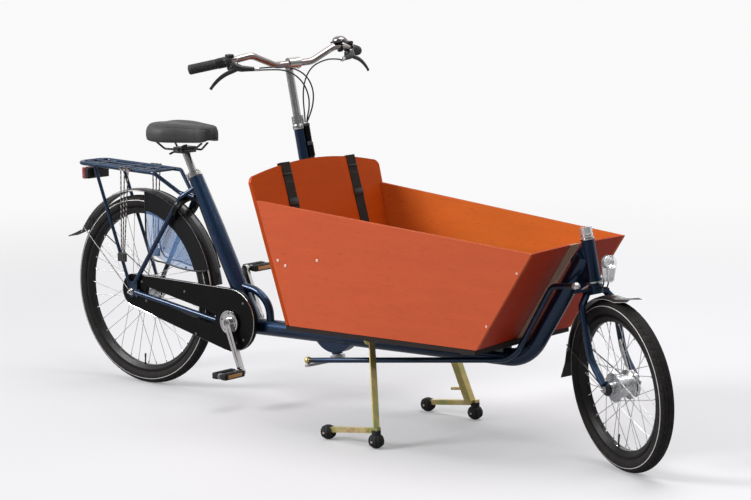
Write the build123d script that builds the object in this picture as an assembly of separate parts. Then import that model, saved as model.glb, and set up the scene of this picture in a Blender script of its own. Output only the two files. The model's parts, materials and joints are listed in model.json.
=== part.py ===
from build123d import *
import os
from math import atan2, cos, degrees, hypot, pi, radians, sin, sqrt, tan

os.makedirs("parts", exist_ok=True)

# A two-wheeled cargo bike with a wooden box between the handlebar and the front wheel.
# Millimetres. +X is forward, +Y is the rider's left, +Z is up.
# The origin is where the rear tyre stands on the floor.

# ---- driving sizes ----
RUN_GAP = 0.05            # radial clearance of a shaft in its bearing
SEAT_GAP = 0.3            # gap between curved faces that rest on each other

REAR_TYRE_R = 327.0
REAR_TYRE_W = 47.0
REAR_RIM_R = 285.0
FRONT_TYRE_R = 253.0
FRONT_TYRE_W = 48.0
FRONT_RIM_R = 209.0
RIM_DEPTH = 21.0
RIM_W = 31.0
SPOKE_R = 1.0
SPOKES = 36
AXLE_R = 5.0

STEER_TILT = 12.0         # both steering axes lean back by this angle
FRONT_AXIS_X = 1855.0     # front steering axis at the height below
COLUMN_AXIS_X = 793.0     # handlebar's steering axis at the height below
AXIS_Z = 600.0
FORK_RAKE = 50.0
FORK_TURN = -24.4         # the front wheel stands turned to the right
STEER_RATIO = 1.6         # the wheel turns this much more than the handlebar
BAR_TURN = FORK_TURN / STEER_RATIO
FORK_ARM = 64.4
FORK_ARM_BACK = -3.1      # angle of the arm behind square, wheel straight ahead
COLUMN_ARM = 104.0
COLUMN_ARM_BACK = 8.8

MAIN_R = 27.0
MAIN_Z = 256.0            # the main tube's middle at its rear end
MAIN_BEND = (1630.0, 284.0)  # corner where the main tube turns up
MAIN_RISE = 58.0          # slope of the risen end
SEAT_TUBE_R = 29.0
SEAT_TUBE_TOP_R = 24.5
SEAT_TUBE_TAPER_Z = 570.0  # the seat tube narrows above this height
SEAT_TUBE_TOP = (254.0, 731.0)
SEAT_TUBE_LOW = (489.0, 302.0)
SEAT_POST_R = 13.5
COLUMN_TUBE_R = 17.5
COLUMN_SHAFT_R = 12.5
COLUMN_TOP_Z = 934.0
COLUMN_LOW_Z = 207.0
HEAD_TUBE_R = 20.0
HEAD_TOP_Z = 666.0
HEAD_LOW_Z = 536.0
STEERER_R = 13.0

BB_X = 463.0
BB_Z = 272.0
BB_R = 21.0
BB_HALF = 36.0
SPINDLE_R = 9.0
CRANK_LENGTH = 168.0
CRANK_DOWN_FORWARD = 24.5  # angle of the right crank from straight down
ARM_IN_Y = 70.0           # inner face of a crank at the spindle
ARM_FLARE = 10.0          # how much further out the crank is at its pedal
ARM_THICK = 13.0
CRANK_DISC_R = 40.0
PEDAL_AXLE_R = 4.5
PEDAL_IN_Y = 102.0
PEDAL_LENGTH = 92.0
PEDAL_WIDTH = 62.0
PEDAL_THICK = 22.0

BOX_WALL = 12.0
BOX_FLOOR = 15.0
BOX_LOW_Z = 345.0
BOX_REAR_TOP = (799.0, 303.5, 728.0)
BOX_REAR_LOW_X = 912.0
WALL_TOP_X = 803.0        # back wall's rear face at the height of the side's rear corner
WALL_LOW_X = 914.0        # and at the box's bottom
BOX_FRONT_TOP = (1815.0, 236.0, 644.0)
BOX_FRONT_LOW_X = 1619.0
BOX_REAR_LOW_HALF = 281.0
FRONT_RECESS = 18.0
STRIP_HALF = 22.0
STRIP_PROUD = 3.0
BACK_SHOULDER_Z = 800.0
BACK_PEAK_Z = 829.0
BACK_CORNER_R = 30.0
STRAP_YS = (-138.0, 172.0)
STRAP_W = 40.0
STRAP_T = 2.5

BENCH_Z = 551.0
BENCH_DEPTH = 240.0
BENCH_HALF = 240.0
BENCH_THICK = 12.0
BENCH_HINGE_GAP = 26.0
BENCH_PIN_R = 4.0

CARRIER_HALF = 64.0
CARRIER_R = 7.0
CARRIER_REAR_X = -270.0
CARRIER_REAR_Z = 755.0    # the platform's middle height at its rear end
CARRIER_FRONT = (118.0, 743.0)  # corner where the rails turn down to the seat tube
FENDER_REAR_R = 351.0
FENDER_FRONT_R = 264.0
FENDER_T = 1.5
CASE_IN_Y = 42.0
CASE_OUT_Y = 62.0
CASE_REAR_Y = 58.0
CASE_FRONT_R = 104.0
CASE_REAR_R = 56.0

STAND_X = 1165.0
STAND_Z = 313.0
STAND_BAR_R = 11.0
STAND_FRONT_FOOT_X = 1244.0
STAND_REAR_FOOT_X = 1051.0
STAND_FOOT_Y = 244.0
FOOT_R = 23.0


# ---- helpers ----
def rod(start, end, radius):
    """A straight round bar between two points."""
    a = Vector(*start)
    b = Vector(*end)
    base = Plane(origin=a, z_dir=b - a)
    return base * Cylinder(radius, (b - a).length, align=(Align.CENTER, Align.CENTER, Align.MIN))


def tube(points, bend, radius):
    """A round bar along straight runs joined by arcs; bend is one radius or one for each corner."""
    path = FilletPolyline(*points, radius=bend)
    return sweep(Plane(origin=path @ 0, z_dir=path % 0) * Circle(radius), path=path)


def taper(start, end, start_r, end_r):
    """A straight round bar whose radius changes from one end to the other."""
    a = Vector(*start)
    b = Vector(*end)
    base = Plane(origin=a, z_dir=b - a)
    return base * Cone(start_r, end_r, (b - a).length, align=(Align.CENTER, Align.CENTER, Align.MIN))


def plate(points, thickness, direction):
    """A flat plate: the outline's points in space, pushed along a direction."""
    face = make_face(Polyline(*points, close=True))
    return extrude(face, amount=thickness, dir=direction)


def wheel_ring(profile, centre=(0, 0, 0)):
    """A ring about an axis along Y; the profile's points are (radius, y)."""
    face = make_face(Polyline(*profile, close=True))
    return Pos(*centre) * revolve(face, axis=Axis.Y)


def disc(centre, radius, y_from, y_to):
    """A disc about an axis along Y."""
    x, z = centre
    return rod((x, y_from, z), (x, y_to, z), radius)


def block(x, y, z):
    """A box between low and high values on each axis."""
    size = (x[1] - x[0], y[1] - y[0], z[1] - z[0])
    middle = ((x[0] + x[1]) / 2, (y[0] + y[1]) / 2, (z[0] + z[1]) / 2)
    return Pos(*middle) * Box(*size)


def both_sides(shape):
    """The shape and its mirror image across the bike's middle."""
    return [shape, mirror(shape, about=Plane.XZ)]


def largest(shape):
    """The biggest solid of a shape that a cut has split."""
    return shape.solids().sort_by(SortBy.VOLUME)[-1]


def save(name, *shapes):
    """Writes one node; several shapes stay separate solids."""
    solids = []
    for shape in shapes:
        solids.extend(shape.solids())
    whole = solids[0] if len(solids) == 1 else Compound(children=solids)
    export_step(whole, f"parts/{name}.step")


# ---- steering axes ----
LEAN = tan(radians(STEER_TILT))
STEER_UP = Vector(-sin(radians(STEER_TILT)), 0, cos(radians(STEER_TILT)))
FRONT_AXIS = Axis((FRONT_AXIS_X, 0, AXIS_Z), STEER_UP)
COLUMN_AXIS = Axis((COLUMN_AXIS_X, 0, AXIS_Z), STEER_UP)


def on_front(z, ahead=0.0):
    """X of the front steering axis at a height."""
    return FRONT_AXIS_X - (z - AXIS_Z) * LEAN + ahead


def on_column(z, ahead=0.0):
    """X of the handlebar's steering axis at a height."""
    return COLUMN_AXIS_X - (z - AXIS_Z) * LEAN + ahead


def fork_turned(shape):
    return shape.rotate(FRONT_AXIS, FORK_TURN)


def bar_turned(shape):
    return shape.rotate(COLUMN_AXIS, BAR_TURN)


def along_axis(x_at, z_low, z_high, radius):
    """A cylinder on a steering axis between two heights."""
    return rod((x_at(z_low), 0, z_low), (x_at(z_high), 0, z_high), radius)


# ---- wheels ----
def tyre(outer, width, rim):
    r = width / 2
    shoulder = outer - r
    base = rim + SEAT_GAP
    section = Pos(shoulder, 0) * Circle(r)
    section = section - Pos(rim / 2, 0) * Rectangle(base * 2 - rim, 2 * width)
    bead = Pos((base + shoulder) / 2, 0) * Rectangle(shoulder - base, RIM_W - 6)
    return revolve(section + bead, axis=Axis.Y)


def rim(outer):
    half = RIM_W / 2
    low = outer - RIM_DEPTH
    profile = [(outer, half), (outer - 7, half), (low, half * 0.45), (low, -half * 0.45),
               (outer - 7, -half), (outer, -half)]
    return wheel_ring(profile)


def hub(body_r, flange_r, flange_y, right_end, left_end):
    bore = AXLE_R + RUN_GAP
    f = flange_y
    profile = [(bore, -right_end), (body_r * 0.55, -right_end), (body_r * 0.6, -f - 5),
               (flange_r, -f - 2), (flange_r, -f + 2), (body_r, -f + 7), (body_r, f - 7),
               (flange_r, f - 2), (flange_r, f + 2), (body_r * 0.6, f + 4),
               (body_r * 0.55, left_end), (bore, left_end)]
    return wheel_ring(profile)


def spokes(flange_r, flange_y, rim_r):
    """Crossed spokes, half of them from each flange."""
    bars = []
    inner = rim_r - RIM_DEPTH + 1.2
    for i in range(SPOKES):
        side = 1 if i % 2 else -1
        at_rim = 2 * pi * i / SPOKES
        lead = radians(62) if (i // 2) % 2 else -radians(62)
        at_hub = at_rim + lead
        a = ((flange_r - 3) * cos(at_hub), side * flange_y, (flange_r - 3) * sin(at_hub))
        b = (inner * cos(at_rim), side * 3, inner * sin(at_rim))
        bars.append(rod(a, b, SPOKE_R))
    return bars


REAR_C = (0, 0, REAR_TYRE_R)
FRONT_FOOT_Z = FRONT_TYRE_R - FORK_RAKE * sin(radians(STEER_TILT))
FRONT_C = (on_front(FRONT_FOOT_Z) + FORK_RAKE * cos(radians(STEER_TILT)), 0, FRONT_TYRE_R)


def rear_placed(shape):
    return Pos(*REAR_C) * shape


def front_placed(shape):
    return fork_turned(Pos(*FRONT_C) * shape)


REAR_HUB = (30.0, 41.0, 29.0, 52.0, 36.0)
FRONT_HUB = (33.0, 43.0, 24.0, 42.0, 30.0)
save("rear_tyre", rear_placed(tyre(REAR_TYRE_R, REAR_TYRE_W, REAR_RIM_R)))
save("rear_rim", rear_placed(rim(REAR_RIM_R)))
save("rear_hub", rear_placed(hub(*REAR_HUB)))
save("rear_spokes", *[rear_placed(s) for s in spokes(REAR_HUB[1], REAR_HUB[2], REAR_RIM_R)])
save("front_tyre", front_placed(tyre(FRONT_TYRE_R, FRONT_TYRE_W, FRONT_RIM_R)))
save("front_rim", front_placed(rim(FRONT_RIM_R)))
save("front_hub", front_placed(hub(*FRONT_HUB)))
save("front_spokes", *[front_placed(s) for s in spokes(FRONT_HUB[1], FRONT_HUB[2], FRONT_RIM_R)])


# ---- frame ----
DROP_Y = 66.0
STAY_R = 8.0
CHAIN_STAY_R = 9.5
MAIN_REAR_X = BB_X + 13
MAIN_BEND_R = 130.0
MAIN_END_Z = 612.0
BRACE_R = 13.0
GUSSET_LOW_Z = 212.0
GUSSET_R = 94.0
GUSSET_HALF = 17.0


def seat_tube_line(z):
    """X of the seat tube's middle at a height."""
    (x0, z0), (x1, z1) = SEAT_TUBE_TOP, SEAT_TUBE_LOW
    return x0 + (z0 - z) * (x1 - x0) / (z0 - z1)


def main_z(x):
    """Height of the main tube's middle ahead of the bottom bracket."""
    return MAIN_Z + (x - MAIN_REAR_X) * (MAIN_BEND[1] - MAIN_Z) / (MAIN_BEND[0] - MAIN_REAR_X)


def seat_tube_point(z):
    return (seat_tube_line(z), 0, z)


def seat_tube():
    top_z = SEAT_TUBE_TOP[1]
    body = rod(seat_tube_point(BB_Z - 10), seat_tube_point(SEAT_TUBE_TAPER_Z), SEAT_TUBE_R)
    body += taper(seat_tube_point(SEAT_TUBE_TAPER_Z), seat_tube_point(top_z), SEAT_TUBE_R, SEAT_TUBE_TOP_R)
    body += disc((BB_X, BB_Z), BB_R, -BB_HALF, BB_HALF)
    brace = [(seat_tube_line(388), 0, 388), (532, 0, 375), (581, 0, 335), (587, 0, main_z(587) + 8)]
    body += tube(brace, [100, 74], BRACE_R)
    body -= disc((BB_X, BB_Z), SPINDLE_R + RUN_GAP, -60, 60)
    bore = rod(seat_tube_point(top_z - 190), seat_tube_point(top_z + 30), SEAT_POST_R + 0.1)
    return body - bore


def main_tube(others):
    bend_x, bend_z = MAIN_BEND
    end_x = bend_x + (MAIN_END_Z - bend_z) / tan(radians(MAIN_RISE))
    points = [(MAIN_REAR_X, 0, MAIN_Z), (bend_x, 0, bend_z), (end_x, 0, MAIN_END_Z)]
    body = tube(points, MAIN_BEND_R, MAIN_R)
    # half-round gusset that carries the foot of the handlebar column
    x = on_column(GUSSET_LOW_Z + 20)
    gusset = disc((x, GUSSET_LOW_Z + GUSSET_R), GUSSET_R, -GUSSET_HALF, GUSSET_HALF)
    body += gusset & block((x - 100, x + 100), (-30, 30), (150, main_z(x)))
    for other in others:
        body -= other
    return largest(body)


def column_tube():
    return along_axis(on_column, COLUMN_LOW_Z, COLUMN_TOP_Z, COLUMN_TUBE_R)


def head_tube():
    body = along_axis(on_front, HEAD_LOW_Z, HEAD_TOP_Z, HEAD_TUBE_R)
    body += along_axis(on_front, HEAD_LOW_Z, HEAD_LOW_Z + 14, HEAD_TUBE_R + 3)
    slope = tan(radians(MAIN_RISE))
    web = [(MAIN_BEND[0] + (500 - MAIN_BEND[1]) / slope + 22, 0, 492),
           (on_front(541), 0, 541), (on_front(HEAD_TOP_Z - 6), 0, HEAD_TOP_Z - 6),
           (MAIN_BEND[0] + (560 - MAIN_BEND[1]) / slope - 14, 0, 600)]
    body += plate([Vector(*p) + Vector(0, -8, 0) for p in web], 16.0, (0, 1, 0))
    return body


seat_tube_solid = seat_tube()
column_outer = column_tube()
head_outer = head_tube()
head_core = along_axis(on_front, HEAD_LOW_Z, HEAD_TOP_Z, HEAD_TUBE_R)
main_tube_solid = main_tube([seat_tube_solid, disc((BB_X, BB_Z), BB_R, -60, 60), column_outer, head_core])
head_body = largest(head_outer - main_tube_solid)
head_body -= along_axis(on_front, 400, 760, STEERER_R + RUN_GAP)
column_body = column_outer - along_axis(on_column, 150, 990, COLUMN_SHAFT_R + RUN_GAP)
save("seat_tube", seat_tube_solid)
save("main_tube", main_tube_solid)
save("column_tube", column_body)
save("head_tube", head_body)


def chain_stay():
    a = (BB_X + 1, -24, BB_Z - 6)
    b = (388, -50, BB_Z - 4)
    c = (14, -DROP_Y + 2, REAR_TYRE_R - 1)
    return tube([a, b, c], 90.0, CHAIN_STAY_R) - disc((BB_X, BB_Z), BB_R, -60, 60)


def dropout():
    """A plate at the end of the stays with the axle's hole."""
    body = disc((0, REAR_TYRE_R), 19.0, -DROP_Y - 3, -DROP_Y + 3)
    body += block((0, 40), (-DROP_Y - 3, -DROP_Y + 3), (REAR_TYRE_R - 10, REAR_TYRE_R + 10))
    body += block((-14, 26), (-DROP_Y - 3, -DROP_Y + 3), (REAR_TYRE_R, REAR_TYRE_R + 36))
    return body


def seat_stay():
    top_z = 700.0
    a = (seat_tube_line(top_z) - 8, -SEAT_TUBE_TOP_R + 9, top_z)
    b = (212, -37, 663)
    c = (12, -DROP_Y + 1, REAR_TYRE_R + 30)
    return tube([a, b, c], 40.0, STAY_R) - seat_tube_solid


axle_hole = disc((0, REAR_TYRE_R), AXLE_R, -100, 100)
seat_stay_solid = largest(seat_stay())
chain_stay_solid = chain_stay() + dropout() - seat_stay_solid - axle_hole - main_tube_solid
chain_stay_solid = largest(chain_stay_solid - seat_tube_solid)
chain_stays = both_sides(chain_stay_solid)
seat_stays = both_sides(seat_stay_solid)
save("chain_stays", *chain_stays)
save("seat_stays", *seat_stays)

rear_axle = disc((0, REAR_TYRE_R), AXLE_R, -86, 86)
for sign in (-1, 1):
    rear_axle += disc((0, REAR_TYRE_R), 9.0, sign * (DROP_Y + 4), sign * (DROP_Y + 12))
save("rear_axle", rear_axle)


# ---- box ----
def side_plane():
    """Plane of the left side's outer face, as n and d with n.p = d."""
    a = Vector(*BOX_REAR_TOP)
    b = Vector(*BOX_FRONT_TOP)
    c = Vector(BOX_REAR_LOW_X, BOX_REAR_LOW_HALF, BOX_LOW_Z)
    n = (b - a).cross(c - a).normalized()
    if n.Y < 0:
        n = n * -1
    return n, n.dot(a)


SIDE_N, SIDE_D = side_plane()


def half_width(x, z, inset=0.0):
    """Half the box's width at a place, less an inset measured square to the side."""
    return (SIDE_D - inset - SIDE_N.X * x - SIDE_N.Z * z) / SIDE_N.Y


def outside_of(inset):
    """Everything beyond the left side's plane, moved in by an inset."""
    corners = [(x, half_width(x, z, inset), z) for x, z in
               ((500, 200), (2100, 200), (2100, 1000), (500, 1000))]
    return plate(corners, 700.0, SIDE_N)


def trimmed(shape, inset):
    """The shape cut to the width of the box."""
    cutter = outside_of(inset)
    return shape - cutter - mirror(cutter, about=Plane.XZ)


def wall_x(z):
    """X of the back wall's outer face at a height."""
    return WALL_LOW_X + (z - BOX_LOW_Z) * (WALL_TOP_X - WALL_LOW_X) / (BOX_REAR_TOP[2] - BOX_LOW_Z)


def front_x(z):
    """X of the front corner line at a height."""
    return BOX_FRONT_LOW_X + (z - BOX_LOW_Z) * (BOX_FRONT_TOP[0] - BOX_FRONT_LOW_X) / (
        BOX_FRONT_TOP[2] - BOX_LOW_Z)


def box_side():
    """The left side; its rear edge butts against the back wall's front face."""
    corners = [(wall_x(BOX_REAR_TOP[2]), BOX_REAR_TOP[2]), (BOX_FRONT_TOP[0], BOX_FRONT_TOP[2]),
               (BOX_FRONT_LOW_X, BOX_LOW_Z), (wall_x(BOX_LOW_Z), BOX_LOW_Z)]
    points = [(x, half_width(x, z), z) for x, z in corners]
    behind = WALL_PLANE * Pos(0, 0, BOX_WALL + SEAT_GAP - 100) * Box(2000, 2000, 200)
    return plate(points, BOX_WALL, SIDE_N * -1) - behind


WALL_TILT = atan2(WALL_LOW_X - WALL_TOP_X, BOX_REAR_TOP[2] - BOX_LOW_Z)
WALL_PLANE = Plane(origin=(WALL_LOW_X, 0, BOX_LOW_Z), x_dir=(0, 1, 0),
                   z_dir=(cos(WALL_TILT), 0, sin(WALL_TILT)))


def on_wall(z):
    """Distance up the back wall for a height."""
    return (z - BOX_LOW_Z) / cos(WALL_TILT)


def back_wall():
    w = half_width(wall_x(BACK_SHOULDER_Z), BACK_SHOULDER_Z)
    shoulder = on_wall(BACK_SHOULDER_Z)
    r = BACK_CORNER_R
    outline = Polyline((-w, shoulder - r), (-w - 30, shoulder - r), (-w - 30, 0), (w + 30, 0),
                       (w + 30, shoulder - r), (w, shoulder - r))
    outline += RadiusArc((w, shoulder - r), (w - r, shoulder), -r)
    outline += ThreePointArc((w - r, shoulder), (0, on_wall(BACK_PEAK_Z)), (-w + r, shoulder))
    outline += RadiusArc((-w + r, shoulder), (-w, shoulder - r), -r)
    wall = extrude(WALL_PLANE * make_face(outline), amount=BOX_WALL)
    return trimmed(wall, 0.0)


def box_front_wing():
    """The left half of the front: it runs in and back from the corner to the middle strip."""
    def outer(z, y):
        w = half_width(front_x(z), z)
        return front_x(z) - FRONT_RECESS * (w - y) / w

    top, low = BOX_FRONT_TOP[2], BOX_LOW_Z
    points = [(outer(top, STRIP_HALF), STRIP_HALF, top), (outer(top, 300), 300, top),
              (outer(low, 300), 300, low), (outer(low, STRIP_HALF), STRIP_HALF, low)]
    u = Vector(*points[1]) - Vector(*points[0])
    v = Vector(*points[3]) - Vector(*points[0])
    n = u.cross(v).normalized()
    if n.X > 0:
        n = n * -1
    fourth = Vector(*points[0]) + u + v
    points[2] = (fourth.X, fourth.Y, fourth.Z)
    wing = plate(points, BOX_WALL, n)
    wing -= block((1400, 2000), (STRIP_HALF, 400), (100, low))
    wing -= block((1400, 2000), (STRIP_HALF, 400), (top, 900))
    wing -= block((1400, 2000), (-100, STRIP_HALF), (100, 900))
    return trimmed(wing, BOX_WALL)


def front_strip():
    top, low = BOX_FRONT_TOP[2], BOX_LOW_Z
    w_top = half_width(front_x(top), top)
    back = FRONT_RECESS * (w_top - STRIP_HALF) / w_top - STRIP_PROUD
    depth = BOX_WALL + STRIP_PROUD
    points = [(front_x(top) - back, -STRIP_HALF, top), (front_x(low) - back, -STRIP_HALF, low),
              (front_x(low) - back - depth, -STRIP_HALF, low),
              (front_x(top) - back - depth, -STRIP_HALF, top)]
    return plate(points, 2 * STRIP_HALF, (0, 1, 0))


def box_floor():
    z0 = BOX_LOW_Z - BOX_FLOOR
    z = BOX_LOW_Z
    xr, xf = WALL_LOW_X - 2, BOX_FRONT_LOW_X - 6
    wr, wf = half_width(xr, z, 2), half_width(xf, z, 2)
    points = [(xr, -wr, z0), (xf, -wf, z0), (xf, wf, z0), (xr, wr, z0)]
    return plate(points, BOX_FLOOR, (0, 0, 1))


left_side = box_side()
save("box_sides", *both_sides(left_side))
save("box_back", back_wall())
save("box_front", *both_sides(box_front_wing()))
save("box_front_strip", front_strip())
save("box_floor", box_floor())


def strap(middle):
    """A belt that hangs over the back wall's top edge, down its front and a little way behind."""
    left, right = middle + STRAP_W / 2, middle - STRAP_W / 2
    w = half_width(wall_x(BACK_SHOULDER_Z), BACK_SHOULDER_Z) - BACK_CORNER_R
    edge_z = BACK_PEAK_Z - (BACK_PEAK_Z - BACK_SHOULDER_Z) * ((abs(middle) - STRAP_W / 2) / w) ** 2
    top = on_wall(edge_z + SEAT_GAP)
    front_base = WALL_PLANE.offset(BOX_WALL + SEAT_GAP)
    rear_base = WALL_PLANE.offset(-SEAT_GAP - STRAP_T)
    low = on_wall(BENCH_Z + 45)
    rear_low = on_wall(690.0)
    front = extrude(front_base * make_face(Polyline(
        (right, low), (left, low), (left, top + STRAP_T),
        (right, top + STRAP_T), close=True)), amount=STRAP_T)
    rear = extrude(rear_base * make_face(Polyline(
        (right, rear_low), (left, rear_low), (left, top + STRAP_T),
        (right, top + STRAP_T), close=True)), amount=STRAP_T)
    over = extrude(rear_base * make_face(Polyline(
        (right, top), (left, top), (left, top + STRAP_T),
        (right, top + STRAP_T), close=True)), amount=BOX_WALL + 2 * SEAT_GAP + 2 * STRAP_T)
    return front + rear + over


save("seat_straps", *[strap(y) for y in STRAP_YS])


# ---- bench ----
HINGE_X = wall_x(BENCH_Z) + BOX_WALL / cos(WALL_TILT) + BENCH_HINGE_GAP


def bench():
    half = BENCH_THICK / 2
    board = block((HINGE_X - 9, HINGE_X + BENCH_DEPTH), (-BENCH_HALF, BENCH_HALF),
                  (BENCH_Z - half, BENCH_Z + half))
    board -= disc((HINGE_X, BENCH_Z), BENCH_PIN_R + RUN_GAP, -BENCH_HALF - 1, -BENCH_HALF + 26)
    board -= disc((HINGE_X, BENCH_Z), BENCH_PIN_R + RUN_GAP, BENCH_HALF - 26, BENCH_HALF + 1)
    return board


def bench_bracket():
    """A bracket on the left side: it holds the bench's pin and a ledge under the bench."""
    under = BENCH_Z - BENCH_THICK / 2
    ear = block((HINGE_X - 16, HINGE_X + 16), (BENCH_HALF + 2, 400), (BENCH_Z - 24, BENCH_Z + 16))
    ledge = block((HINGE_X - 16, HINGE_X + 185), (BENCH_HALF + 2, 400), (under - 26, under - 8))
    lip = block((HINGE_X + 120, HINGE_X + 185), (BENCH_HALF - 22, BENCH_HALF + 30), (under - 8, under))
    bracket = trimmed(ear + ledge + lip, BOX_WALL)
    return bracket + disc((HINGE_X, BENCH_Z), BENCH_PIN_R, BENCH_HALF - 24, BENCH_HALF + 4)


save("bench", bench())
save("bench_brackets", *both_sides(bench_bracket()))


# ---- box supports and stand ----
def support(x, half):
    """A cross bar between the main tube and the box floor."""
    low = main_z(x) + 8
    top = BOX_LOW_Z - BOX_FLOOR
    bar = block((x - 15, x + 15), (-half, half), (top - 14, top))
    post = block((x - 15, x + 15), (-22, 22), (low, top - 14))
    return (bar + post) - main_tube_solid


SUPPORT_XS = (960.0, 1330.0, 1540.0)
supports = []
for support_x in SUPPORT_XS:
    supports.append(largest(support(support_x, 190.0)))
save("box_supports", *supports)


def stand_bracket():
    middle = main_z(STAND_X)
    body = block((STAND_X - 24, STAND_X + 24), (-38, 38), (middle + 6, BOX_LOW_Z - BOX_FLOOR - 1))
    body -= block((STAND_X - 40, STAND_X + 40), (-30, 30), (middle + MAIN_R + 1, BOX_LOW_Z))
    body -= main_tube_solid
    body -= disc((STAND_X, STAND_Z), STAND_BAR_R + RUN_GAP, -60, 60)
    return largest(body)


save("stand_bracket", stand_bracket())

STAND_TOP_Y = 180.0
LEG_W = 25.0
LEG_T = 3.5
BAR_REAR_Z = 31.0         # the foot bar's middle at the rear foot
BAR_SLOPE = 0.13
BAR_H = 16.0


def bar_z(x):
    """Height of the middle of the bar that joins two feet."""
    return BAR_REAR_Z + (x - STAND_REAR_FOOT_X) * BAR_SLOPE


def stand_leg():
    """The left leg, an angle section, with the bar that joins its two feet."""
    top = Vector(STAND_X, STAND_TOP_Y, STAND_Z)
    low_x = STAND_FRONT_FOOT_X - 14
    low = Vector(low_x, STAND_FOOT_Y - 6, bar_z(low_x))
    run = Plane(origin=top, z_dir=low - top, x_dir=(1, 0, 0.4))
    length = (low - top).length
    leg = run * Pos(0, LEG_W / 2 - LEG_T / 2, length / 2) * Box(LEG_W, LEG_T, length)
    leg += run * Pos(LEG_W / 2 - LEG_T / 2, 0, length / 2) * Box(LEG_T, LEG_W, length)
    front, rear = STAND_FRONT_FOOT_X + 10, STAND_REAR_FOOT_X - 4
    h = BAR_H / 2
    bar = plate([(rear, STAND_FOOT_Y - 9, bar_z(rear) - h), (front, STAND_FOOT_Y - 9, bar_z(front) - h),
                 (front, STAND_FOOT_Y - 9, bar_z(front) + h), (rear, STAND_FOOT_Y - 9, bar_z(rear) + h)],
                18.0, (0, 1, 0))
    stub_top = (STAND_FRONT_FOOT_X, STAND_FOOT_Y, bar_z(STAND_FRONT_FOOT_X))
    stub = rod((STAND_FRONT_FOOT_X, STAND_FOOT_Y, FOOT_R + 6), stub_top, 8.0)
    return leg + bar + stub


def stand():
    body = disc((STAND_X, STAND_Z), STAND_BAR_R, -STAND_TOP_Y - 12, STAND_TOP_Y + 12)
    for leg in both_sides(stand_leg()):
        body += leg
    lever = rod((STAND_X + 50, 218, 102), (STAND_X - 4, 229, 93), 5.0)
    return body + lever


def foot(x, collar_top):
    """A rubber ball foot with a flat ground patch and a collar up to the bar."""
    body = Pos(x, STAND_FOOT_Y, FOOT_R) * Sphere(FOOT_R)
    body += rod((x, STAND_FOOT_Y, FOOT_R), (x, STAND_FOOT_Y, collar_top), 14.0)
    return body - block((x - 60, x + 60), (STAND_FOOT_Y - 60, STAND_FOOT_Y + 60), (-20, 0.0))


stand_solid = stand()
feet = []
for foot_x in (STAND_FRONT_FOOT_X, STAND_REAR_FOOT_X):
    feet.extend(both_sides(largest(foot(foot_x, bar_z(foot_x)) - stand_solid)))
save("stand", stand_solid)
save("stand_feet", *feet)


# ---- seat ----
POST_TOP_Z = 834.0
SADDLE_LOW_Z = 851.0
RAIL_Z = 824.0


def seat_post():
    top = SEAT_TUBE_TOP[1]
    body = rod(seat_tube_point(top - 150), seat_tube_point(POST_TOP_Z), SEAT_POST_R)
    collar = rod(seat_tube_point(top + 2), seat_tube_point(top + 20), SEAT_TUBE_TOP_R - 4)
    bolt = disc((seat_tube_line(top + 10) - 24, top + 6), 5.0, -14, 14)
    return body + collar + bolt


def saddle():
    """A wide rear that narrows to a nose."""
    cx, nose_x, low, top = 172.0, 312.0, SADDLE_LOW_Z, 916.0
    outline = make_face(Polyline(
        (cx - 92, -48), (cx - 70, -84), (cx - 20, -100), (cx + 30, -89), (cx + 80, -64),
        (nose_x + 5, -41), (nose_x + 26, -22), (nose_x + 26, 22), (nose_x + 5, 41), (cx + 80, 64),
        (cx + 30, 89), (cx - 20, 100), (cx - 70, 84), (cx - 92, 48), close=True))
    body = extrude(Pos(0, 0, low) * outline, amount=top - low)
    return fillet(body.edges().group_by(Axis.Z)[-1], 16.0)


def saddle_rails():
    """Two wires under the saddle and the clamp that holds them on the post."""
    rails = []
    x = seat_tube_line(RAIL_Z)
    high = SADDLE_LOW_Z - 1
    for sign in (-1, 1):
        pts = [(106, sign * 42, high), (138, sign * 30, RAIL_Z), (262, sign * 20, RAIL_Z), (298, sign * 14, high)]
        rails.append(tube(pts, [16, 16], 3.5))
    clamp = block((x - 20, x + 20), (-34, 34), (RAIL_Z - 11, RAIL_Z + 9))
    lever = rod((x - 26, -8, RAIL_Z - 4), (x - 36, -36, RAIL_Z - 16), 3.5)
    clamp += lever + block((x - 30, x - 18), (-14, 14), (RAIL_Z - 9, RAIL_Z + 3))
    clamp -= rod(seat_tube_point(700), seat_tube_point(900), SEAT_POST_R)
    return rails[0] + rails[1] + clamp


saddle_solid = saddle()
post_solid = seat_post()
save("seat_post", post_solid)
save("saddle", saddle_solid)
save("saddle_rails", saddle_rails() - saddle_solid - post_solid)


# ---- carrier ----
def carrier_z(x):
    """The platform's middle height; it falls a little towards the front."""
    front_x, front_z = CARRIER_FRONT
    return CARRIER_REAR_Z + (x - CARRIER_REAR_X) * (front_z - CARRIER_REAR_Z) / (front_x - CARRIER_REAR_X)


def carrier():
    """A loop of tube whose front ends bend down to the seat tube, with bars across."""
    h = CARRIER_HALF
    rear = CARRIER_REAR_X + CARRIER_R
    front_x, front_z = CARRIER_FRONT
    right = [(262, -18, 669), (203, -28, 679), (front_x, -h, front_z), (rear, -h, carrier_z(rear))]
    left = [(x, -y, z) for x, y, z in reversed(right)]
    body = tube(right + left, [14, 26, 34, 34, 26, 14], CARRIER_R)
    inner_front = 92.0
    for y in (-22, 22):
        body += rod((rear, y, carrier_z(rear)), (inner_front, y, carrier_z(inner_front)), 4.5)
    for x in (-190.0, -60.0, 30.0, inner_front):
        body += rod((x, -h, carrier_z(x)), (x, h, carrier_z(x)), 4.5)
    return body


def carrier_strut():
    top_x = -176.0
    return rod((top_x, -CARRIER_HALF, carrier_z(top_x)), (-12, -DROP_Y - 1, REAR_TYRE_R + 24), 6.0)


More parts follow.
